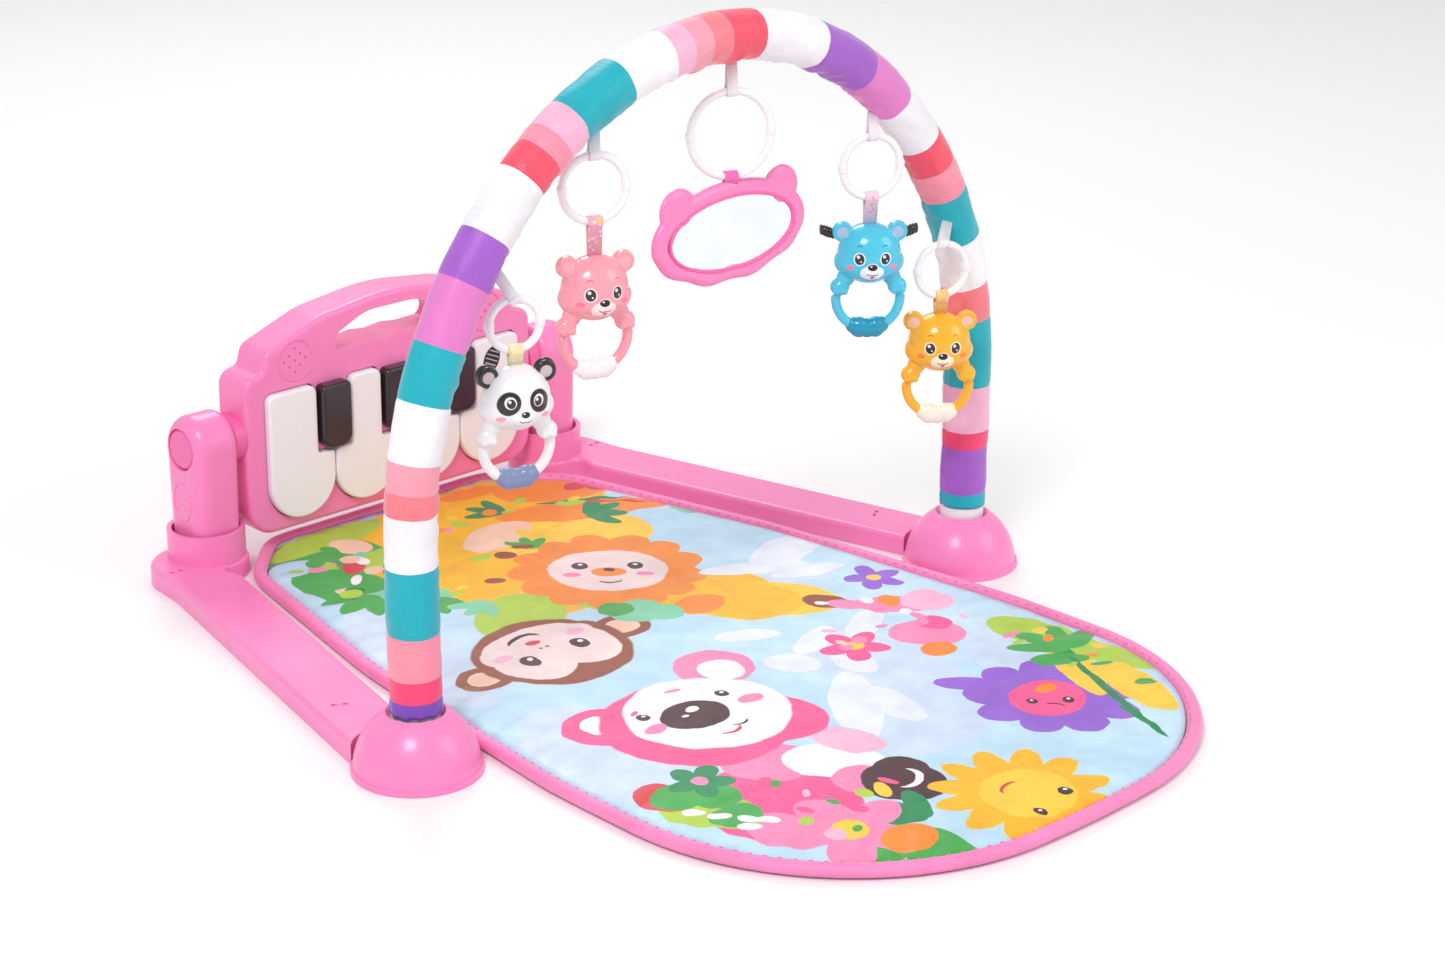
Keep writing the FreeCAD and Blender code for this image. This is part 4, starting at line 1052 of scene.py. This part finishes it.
# Degrees that each toy is turned from facing straight forward.
FACINGS = {"panda": -20, "pink_bear": -20, "mirror": 0, "blue_bear": -38, "yellow_bear": -38}


def node_middle(name):
    low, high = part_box(name)
    return (low + high) / 2


RING_WIRE = 0.0025
RIBBON_GAP = 0.0006
RIBBON_BEND = 0.0033
# Where the loops are sewn to the steep sides of the arch.
LOOP_ANCHORS = {"panda": Vector((-0.1745, -0.022, 0.2925)), "yellow_bear": Vector((0.2035, -0.031, 0.2520))}


def ribbon_band(name, path, wide, thick, across, material):
    """Flat ribbon along a path, with rounded long edges and a raised selvedge."""
    section = []
    for x, y in ((-0.5, 0.35), (-0.46, 0.5), (-0.34, 0.42), (0.34, 0.42), (0.46, 0.5), (0.5, 0.35),
                 (0.5, -0.35), (0.46, -0.5), (-0.46, -0.5), (-0.5, -0.35)):
        section.append((x * wide, y * thick))
    points = []
    for i, centre in enumerate(path):
        along = (path[min(i + 1, len(path) - 1)] - path[max(i - 1, 0)]).normalized()
        side = (across - along * across.dot(along)).normalized()
        face = along.cross(side)
        for x, y in section:
            points.append(centre + side * x + face * y)
    around = len(section)
    faces = ring_faces(len(path), around) + end_caps(len(path), around)
    piece = add_mesh(name, points, faces, material)
    fix_normals(piece)
    return piece


def loop_path(wire, ends, radius, across):
    """Path up from an end, round a wire and back to the end, the two runs side by side."""
    toward = (ends - wire).normalized()
    out = toward.cross(across).normalized()
    path = [ends + out * RIBBON_GAP]
    steps = 16
    for i in range(steps + 1):
        angle = math.radians(38 + (360 - 76) * i / steps)
        path.append(wire + (toward * math.cos(angle) + out * math.sin(angle)) * radius)
    path.append(ends - out * RIBBON_GAP)
    return path


def make_ring(name):
    """Link ring with a clasp joint on each side."""
    middle = node_middle(name + "_ring")
    low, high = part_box(name + "_ring")
    radius = (high.z - low.z) / 2 - RING_WIRE
    outs = oval(ORIGIN, 1, 1, 96, X_AXIS, Z_AXIS)
    parts = [hoop([out * radius for out in outs], outs, RING_WIRE, RING_WIRE, 18)]
    for side in (-1, 1):
        x = side * radius
        parts.append(ball_points((x, 0, 0.0006), RING_WIRE * 1.3, RING_WIRE * 1.3, RING_WIRE * 1.1, 20, 14))
        parts.append(tube_points([Vector((x, 0, -0.0022)), Vector((x, 0, 0.0028))], RING_WIRE * 1.2))
    ring = moulded(name + "_link", parts, link_plastic, 0.00045, 3)
    settle(ring, name + "_link", "link_white", name + "_ring",
           place=Matrix.Translation(middle) @ Matrix.Rotation(RING_FACING, 4, "Z"))
    return middle, radius


def make_ribbons(name, middle, radius, covers):
    """The sewn loop that carries the ring and the strap from the ring down to the toy."""
    across = Vector((math.cos(RING_FACING), math.sin(RING_FACING), 0))
    top_wire = middle + Z_AXIS * radius
    low_wire = middle - Z_AXIS * radius
    head_top = Vector((low_wire.x, low_wire.y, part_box(name + "_strap")[0].z - 0.0012))
    path = loop_path(low_wire, head_top, RIBBON_BEND, across)
    strap = ribbon_band(name + "_ribbon", path, 0.0088, 0.0009, across, covers[0])
    settle(strap, name + "_toy", "ribbon_pink", name + "_strap")
    anchor = LOOP_ANCHORS.get(name)
    if anchor is None:
        centre, out = arch_point(nearest_run(top_wire.x))
        anchor = Vector((top_wire.x, top_wire.y, centre.z - 0.0150 / abs(out.z)))
    path = loop_path(top_wire, anchor, RIBBON_BEND, across)
    loop = ribbon_band(name + "_sewn_loop", path, 0.0068, 0.0008, across, covers[1])
    settle(loop, "base", "ribbon", *(["hanging_loops"] if name == "mirror" else []))


def nearest_run(x):
    """Run at which the arch's middle line has a given x."""
    low, high = 0.0, FULL_RUN
    for _ in range(40):
        middle = (low + high) / 2
        if arch_point(middle)[0].x < x:
            low = middle
        else:
            high = middle
    return low


# A rattle's head: its half sizes, and the middle of the handle's circle below it.
HEAD = Vector((0.022, 0.017, 0.020))
HANDLE = Vector((0, 0, -0.030))
# Height of a head's centre over the middle of its whole rattle.
RATTLE_MIDDLE = 0.0138


def face_material(name, colour, shapes, rough=0.22):
    """Glossy moulded plastic with a printed face on its front; shapes lie in the head's XZ plane."""
    material, nodes, shader = new_material(name)
    place = nodes.place()
    split = nodes.add("SeparateXYZ")
    nodes.join(place, split.inputs[0])
    flat = nodes.add("CombineXYZ")
    nodes.join(split.outputs["X"], flat.inputs["X"])
    nodes.join(split.outputs["Z"], flat.inputs["Y"])
    drift = nodes.noise(place, 30.0, 2.0)
    ground = nodes.mix(nodes.ramp(drift, 0.3, 0.7), shade(colour, 0.9), colour)
    ink = printed(nodes, BLOB, ground, flat.outputs[0], shapes, edge=0.08)
    front = nodes.math("LESS_THAN", split.outputs["Y"], -0.002)
    nodes.join(nodes.mix(front, ground, ink), shader.inputs["Base Color"])
    gloss = nodes.ramp(nodes.noise(place, 90.0), 0.3, 0.7, rough - 0.05, rough + 0.06)
    nodes.join(gloss, shader.inputs["Roughness"])
    finish_with(shader, coat_weight=0.4, coat_roughness=0.08)
    bump(nodes, shader, nodes.noise(place, 160.0, 1.0), 0.06, 0.0003)
    return material


INK = tone(30, 20, 26)
PANDA_WHITE = tone(246, 244, 245)


def mouth(ground):
    """Two small curves that meet under the nose."""
    return smile(-1.8, -9.6, 2.2, -10, INK, ground) + smile(1.8, -9.6, 2.2, 10, INK, ground)


def bear_face(ground, muzzle, cheek, inner_ear, brow):
    """Rimmed eyes, faint brows, a light muzzle, nose, mouth and cheeks, in the head's millimetres."""
    shapes = [(-17.8, 14.6, 3.9, 3.9, 0, inner_ear), (17.8, 14.6, 3.9, 3.9, 0, inner_ear),
              (-2.9, -9.6, 5.0, 4.6, 0, muzzle), (2.9, -9.6, 5.0, 4.6, 0, muzzle),
              (0, -6.6, 4.4, 4.2, 0, muzzle)]
    for side in (-1, 1):
        shapes += [(side * 8.4, -0.2, 3.9, 4.6, 0, muzzle), (side * 8.4, -0.2, 3.1, 3.8, 0, INK),
                   (side * 8.4 - 0.8, 1.4, 1.0, 1.1, 0, SNOW), (side * 8.4 + 0.9, -1.6, 0.5, 0.6, 0, SNOW),
                   (side * 8.2, 7.4, 1.9, 1.5, 0, brow), (side * 8.2, 6.8, 1.9, 1.4, 0, ground),
                   (side * 14.0, -6.0, 2.6, 1.7, 0, cheek)]
    shapes += mouth(muzzle)
    return shapes + [(0, -12.0, 1.5, 1.0, 0, RED), (0, -5.4, 3.3, 2.2, 0, INK),
                     (-0.9, -4.7, 0.8, 0.5, 0, SNOW)]


def panda_face():
    shapes = []
    for side in (-1, 1):
        shapes += [(side * 9.2, 1.0, 6.6, 7.6, side * 28, INK), (side * 8.6, 1.6, 3.5, 3.9, 0, SNOW),
                   (side * 8.3, 1.2, 2.6, 3.0, 0, INK), (side * 8.3 - 0.8, 2.4, 0.9, 1.0, 0, SNOW),
                   (side * 13.6, -8.4, 2.8, 1.7, 0, tone(252, 170, 190))]
    return shapes + mouth(PANDA_WHITE) + [(0, -6.0, 2.7, 1.9, 0, INK), (-0.8, -5.4, 0.7, 0.4, 0, SNOW)]


def ear_rim(side):
    """Raised ring round the hollow of an ear, on the side that faces forward."""
    outs = oval(ORIGIN, 1, 1, 28, X_AXIS, Z_AXIS)
    middle = Vector((side * 0.0178, -0.0028, 0.0146))
    return hoop([middle + out * 0.0052 for out in outs], outs, 0.0014, 0.0014, 10)


def rattle_parts(with_ears):
    """The moulded pieces of a rattle in the head's own frame: head, muzzle, ears, arms, paws and handle."""
    parts = [ball_points(ORIGIN, HEAD.x * 0.94, HEAD.y, HEAD.z, 56, 36),
             ball_points((0, 0, -0.0055), HEAD.x * 1.04, HEAD.y * 0.95, HEAD.z * 0.66, 48, 30),
             ball_points((0, -HEAD.y * 0.72, -0.0082), 0.0080, 0.0052, 0.0062, 30, 20)]
    for side in (-1, 1):
        if with_ears:
            parts.append(ball_points((side * 0.0178, 0, 0.0146), 0.0068, 0.0042, 0.0068, 26, 18))
            parts.append(ear_rim(side))
        parts.append(ball_points((side * 0.0150, -0.001, -0.0160), 0.0060, 0.0052, 0.0060, 24, 16))
        parts.append(ball_points((side * 0.0187, -0.001, -0.0222), 0.0064, 0.0058, 0.0060, 28, 18))
        for k in (-1, 0, 1):
            toe = (side * 0.0187 + k * 0.0030, -0.0052, -0.0235 - abs(k) * 0.0006)
            parts.append(ball_points(toe, 0.0020, 0.0018, 0.0026, 14, 10))
    for start, end in ((176, 246), (-66, 4)):
        parts.append(tube_points(arc_points(HANDLE, 0.021, start, end, 26), 0.0032))
    return parts


def grip_parts():
    """Scalloped grip with a rounded lobe each side and a dip in the middle."""
    parts = []
    for turn, size in ((244, 0.0054), (255, 0.0069), (270, 0.0064), (285, 0.0069), (296, 0.0054)):
        angle = math.radians(turn)
        centre = HANDLE + X_AXIS * (0.0208 * math.cos(angle)) + Z_AXIS * (0.0208 * math.sin(angle))
        parts.append(ball_points(centre, size * 0.95, size * 0.84, size, 26, 18))
    return parts


def make_rattle(name, body_material, ear_material, grip_material, slot):
    """One rattle: its moulded shell, ears of their own colour if it has them, and the grip on its handle."""
    middle = node_middle(name + "_ring")
    head_z = node_middle(name + "_rattle").z + RATTLE_MIDDLE
    spot = Matrix.Translation(Vector((middle.x, middle.y, head_z)))
    place = spot @ Matrix.Rotation(math.radians(FACINGS[name]), 4, "Z")
    shell = moulded(name + "_shell", rattle_parts(ear_material is None), body_material, 0.00065, 5)
    settle(shell, name + "_toy", slot, name + "_rattle", place=place)
    if ear_material is not None:
        for side, word in SIDES:
            parts = [ball_points((side * 0.0180, 0, 0.0150), 0.0070, 0.0044, 0.0070, 30, 20), ear_rim(side)]
            ear = moulded("%s_ear_%s" % (name, word), parts, ear_material, 0.0005, 2)
            settle(ear, name + "_toy", slot, place=place)
    handle = moulded(name + "_handle_grip", grip_parts(), grip_material, 0.0005, 4)
    settle(handle, name + "_toy", "grip_white", name + "_grip", place=place)
    return place


# Each hanging toy's ribbon: its name, colour and printed specks.
STRAPS = {
    "panda": ("ribbon_cream", tone(248, 232, 180), (tone(250, 200, 110), SNOW)),
    "pink_bear": ("ribbon_pink", tone(250, 178, 204), (GOLD, SNOW)),
    "mirror": ("ribbon_rose", tone(246, 110, 184), ()),
    "blue_bear": ("ribbon_lilac", tone(240, 206, 226), (tone(120, 206, 200), ROSE)),
    "yellow_bear": ("ribbon_buttercup", tone(250, 206, 120), (tone(252, 160, 140), SNOW)),
}
# Each bear's skin, muzzle, cheek, inner ear and brow.
BEAR_TONES = {
    "pink": ((255, 162, 176), (253, 226, 228), (250, 116, 140), (253, 172, 182), (214, 96, 116)),
    "blue": ((74, 200, 230), (238, 246, 250), (240, 130, 165), (166, 190, 222), (30, 110, 140)),
    "yellow": ((255, 184, 34), (254, 240, 214), (250, 130, 60), (252, 196, 170), (196, 110, 20)),
}
# Each rattle's grip: its name, colour and roughness.
GRIPS = {
    "panda": ("grip_slate", tone(128, 142, 178), 0.25), "pink": ("grip_pearl", tone(248, 240, 240), 0.25),
    "blue": ("grip_teal", tone(26, 150, 184), 0.2), "yellow": ("grip_ivory", tone(250, 240, 226), 0.25),
}


def make_toys():
    """Rings and ribbons of all five toys, the four rattles and the mirror."""
    loop_cover = fabric("ribbon_white", tone(240, 236, 240), 0.0004, sheen=0.5, rough=0.4)
    for name in FACINGS:
        word, colour, specks = STRAPS[name]
        cover = fabric(word, colour, 0.0004, 0.5, 0.4, specks=specks)
        middle, radius = make_ring(name)
        make_ribbons(name, middle, radius, (cover, loop_cover))
    inner_ear = tone(206, 184, 192)
    ears = face_material("panda_ear", INK, [(side * 17.8, 14.6, 3.8, 3.8, 0, inner_ear) for side in (-1, 1)])
    skin = face_material("panda_skin", PANDA_WHITE, panda_face())
    make_rattle("panda", skin, ears, plastic(*GRIPS["panda"]), "panda_white")
    places = {}
    for word, tones in BEAR_TONES.items():
        colours = [tone(*values) for values in tones]
        skin = face_material(word + "_skin", colours[0], bear_face(*colours))
        places[word] = make_rattle(word + "_bear", skin, None, plastic(*GRIPS[word]), "bear_" + word)
    make_ratchets(places["blue"])
    make_mirror()


def make_ratchets(place):
    """Black ribbed clickers that stand out behind the blue bear's ears."""
    for side, word in SIDES:
        parts = []
        for i in range(5):
            centre = (side * (0.0232 + i * 0.0019), 0.004, 0.0120 + i * 0.0007)
            parts.append(ball_points(centre, 0.0014, 0.0036, 0.0040 - abs(i - 2) * 0.0002, 18, 12))
        core = [Vector((side * 0.0180, 0.004, 0.0105)), Vector((side * 0.0312, 0.004, 0.0150))]
        parts.append(tube_points(core, 0.0025))
        clicker = moulded("blue_bear_clicker_" + word, parts, black_plastic, 0.0004, 2)
        settle(clicker, "blue_bear_toy", "key_black", place=place)


def make_mirror():
    """Soft-edged oval frame with round ears, a bead round the plate and scalloped lower sides."""
    low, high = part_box("mirror_plate")
    wide = (high.x - low.x) / 2
    tall = (high.z - low.z) / 2
    outs = oval(ORIGIN, 1, 1, 110, X_AXIS, Z_AXIS)
    path = []
    for i, out in enumerate(outs):
        scallop = 0.0012 * max(0.0, -out.z) * math.cos(20 * math.pi * i / len(outs))
        path.append(Vector(((wide + 0.0062) * out.x, 0.0022, (tall + 0.0032) * out.z)) + out * scallop)
    parts = [hoop(path, outs, 0.0064, 0.0040, 18),
             ball_points((0, 0.0042, 0), wide + 0.006, 0.0024, tall + 0.003, 80, 30)]
    for side in (-1, 1):
        parts.append(ball_points((side * 0.0435, 0.0022, 0.0205), 0.0150, 0.0042, 0.0140, 44, 26))
    surround = moulded("mirror_surround", parts, pink_plastic, 0.0009, 4)
    spot = Matrix.Translation((low + high) / 2)
    settle(surround, "mirror_toy", "pink_plastic", "mirror_frame", place=spot)
    path = oval(Y_AXIS * -0.0012, wide + 0.0004, tall + 0.0004, 110, X_AXIS, Z_AXIS)
    rim = bead("mirror_rim", path, 0.0011, pink_deep_plastic, 12)
    settle(rim, "mirror_toy", "pink_plastic", place=spot)


# Details on the hard parts

def disc_of(name, place, direction, radius, lift, material, body, slot, around=12):
    """A thin raised round pad with a soft edge, lying on a face whose outward normal is direction."""
    points = []
    steps = ((0.86, lift), (0.96, lift * 0.8), (1.0, lift * 0.2), (1.0, -0.0004))
    for part, height in steps:
        points += oval(Z_AXIS * height, radius * part, radius * part, around, X_AXIS, Y_AXIS)
    faces = ring_faces(len(steps), around) + end_caps(len(steps), around)
    piece = add_mesh(name, points, faces, material)
    fix_normals(piece)
    turn = Vector(direction).to_track_quat("Z", "Y").to_matrix().to_4x4()
    return settle(piece, body, slot, place=Matrix.Translation(place) @ turn)


def speaker_marks():
    """The two round speaker patterns: a moulded circle with a scatter of small sound holes, each drawn as a
    thin darker pad: painted shade where the hole's dark inside would be.
    """
    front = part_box("piano_front_shell")[0].y
    # Darker pink pads stand in for the holes: painted shade, not holes cut in the shell.
    hole_shade = plastic("sound_hole", tone(196, 66, 128), rough=0.5, coat=0.0)
    spots = ((0, 0), (0.0045, 0.004), (-0.0045, 0.004), (0.0045, -0.004), (-0.0045, -0.004),
             (0, 0.0085), (0, -0.0085), (0.0088, 0.0004), (-0.0088, 0.0004))
    for side, word in SIDES:
        centre = Vector((side * 0.084, front, 0.1405))
        path = oval(centre - Y_AXIS * 0.0001, 0.0142, 0.0142, 72, X_AXIS, Z_AXIS)
        ring = bead("speaker_circle_" + word, path, 0.00055, pink_plastic, 10)
        settle(ring, "piano", "pink_plastic")
        for i, (x, z) in enumerate(spots):
            disc_of("sound_hole_%s_%d" % (word, i), centre + Vector((x, 0, z)), (0, -1, 0), 0.00075, 0.00012,
                    hole_shade, "piano", "pink_plastic")


def microphone_mark():
    """A small printed microphone on the right-hand key: a ribbed head on a short handle."""
    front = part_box("white_key_4")[0].y
    ink = plastic("mark_ink", INK, rough=0.4, coat=0.0)
    pale = plastic("mark_pale", tone(206, 200, 204), rough=0.4, coat=0.0)
    lean = Matrix.Rotation(math.radians(24), 4, "Y")
    centre = Vector((0.0850, front, 0.1050))

    def flat_patch(name, outline, lift, material):
        points = []
        for height in (lift, -0.0003):
            for x, z in outline:
                turned = lean @ Vector((x, 0, z))
                points.append(centre + Vector((turned.x, -height, turned.z)))
        count = len(outline)
        faces = [tuple(range(count)), tuple(reversed(range(count, 2 * count)))]
        faces += [(i, i + count, (i + 1) % count + count, (i + 1) % count) for i in range(count)]
        patch = add_mesh(name, points, faces, material, smooth=False)
        fix_normals(patch)
        settle(patch, "key_4", "key_black")

    head = oval(ORIGIN, 0.0072, 0.0100, 36, X_AXIS, Z_AXIS)
    flat_patch("microphone_head", [(point.x, point.z) for point in head], 0.00020, ink)
    for i, (z, half) in enumerate(((0.0058, 0.0044), (0.0026, 0.0058), (-0.0006, 0.0060), (-0.0038, 0.0054))):
        line = [(-half, z), (half, z), (half, z + 0.0007), (-half, z + 0.0007)]
        flat_patch("microphone_rib_%d" % i, line, 0.00032, pale)
    neck = [(-0.0036, -0.0105), (0.0036, -0.0105), (0.0036, -0.0090), (-0.0036, -0.0090)]
    flat_patch("microphone_neck", neck, 0.0003, ink)
    handle = [(-0.0028, -0.0112), (0.0028, -0.0112), (0.0019, -0.0195), (-0.0019, -0.0195)]
    flat_patch("microphone_handle", handle, 0.0002, ink)


def post_panels():
    """Raised oval panel with small dots low on each post's outer side."""
    dots = ((0, 0.008), (-0.004, 0.003), (0.004, 0.003), (0, -0.001), (-0.004, -0.005), (0.004, -0.005))
    for side, word in SIDES:
        low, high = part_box("post_" + word)
        centre = Vector((low.x if side < 0 else high.x, (low.y + high.y) / 2, 0.0545))
        path = oval(centre, 0.0092, 0.0135, 48, Y_AXIS, Z_AXIS)
        ring = bead("post_panel_" + word, path, 0.0005, pink_plastic, 8)
        settle(ring, "base", "pink_plastic")
        for i, (y, z) in enumerate(dots):
            disc_of("post_dot_%s_%d" % (word, i), centre + Vector((0, y, z)), (side, 0, 0), 0.0007, 0.0002,
                    pink_deep_plastic, "base", "pink_plastic")


ARM_TOP = 0.014


def arm_latches():
    """Small moulded latch marks on the arms: a raised rim round a dark slot."""
    shadow = plastic("slot_shade", tone(150, 40, 92), rough=0.6, coat=0.0)
    for side, word in SIDES:
        for i, (x, y, turn) in enumerate(((0.2375, 0.056, 30), (0.1880, 0.300, 10))):
            lean = Matrix.Rotation(math.radians(turn * side), 4, "Z")
            across = lean @ X_AXIS
            for k, shift in enumerate((-0.0034, 0.0034)):
                mark = "%s_%d_%d" % (word, i, k)
                centre = Vector((side * x, y, ARM_TOP)) + across * shift
                path = oval(centre, 0.0026, 0.0014, 24, across, lean @ Y_AXIS)
                rim = bead("latch_rim_" + mark, path, 0.00045, pink_plastic, 8)
                settle(rim, "base", "pink_plastic")
                disc_of("latch_slot_" + mark, centre, (0, 0, 1), 0.0013, 0.00015, shadow, "base",
                        "pink_plastic_dark", 16)


make_mat()
make_sleeve()
make_toys()
speaker_marks()
microphone_mark()
post_panels()
arm_latches()
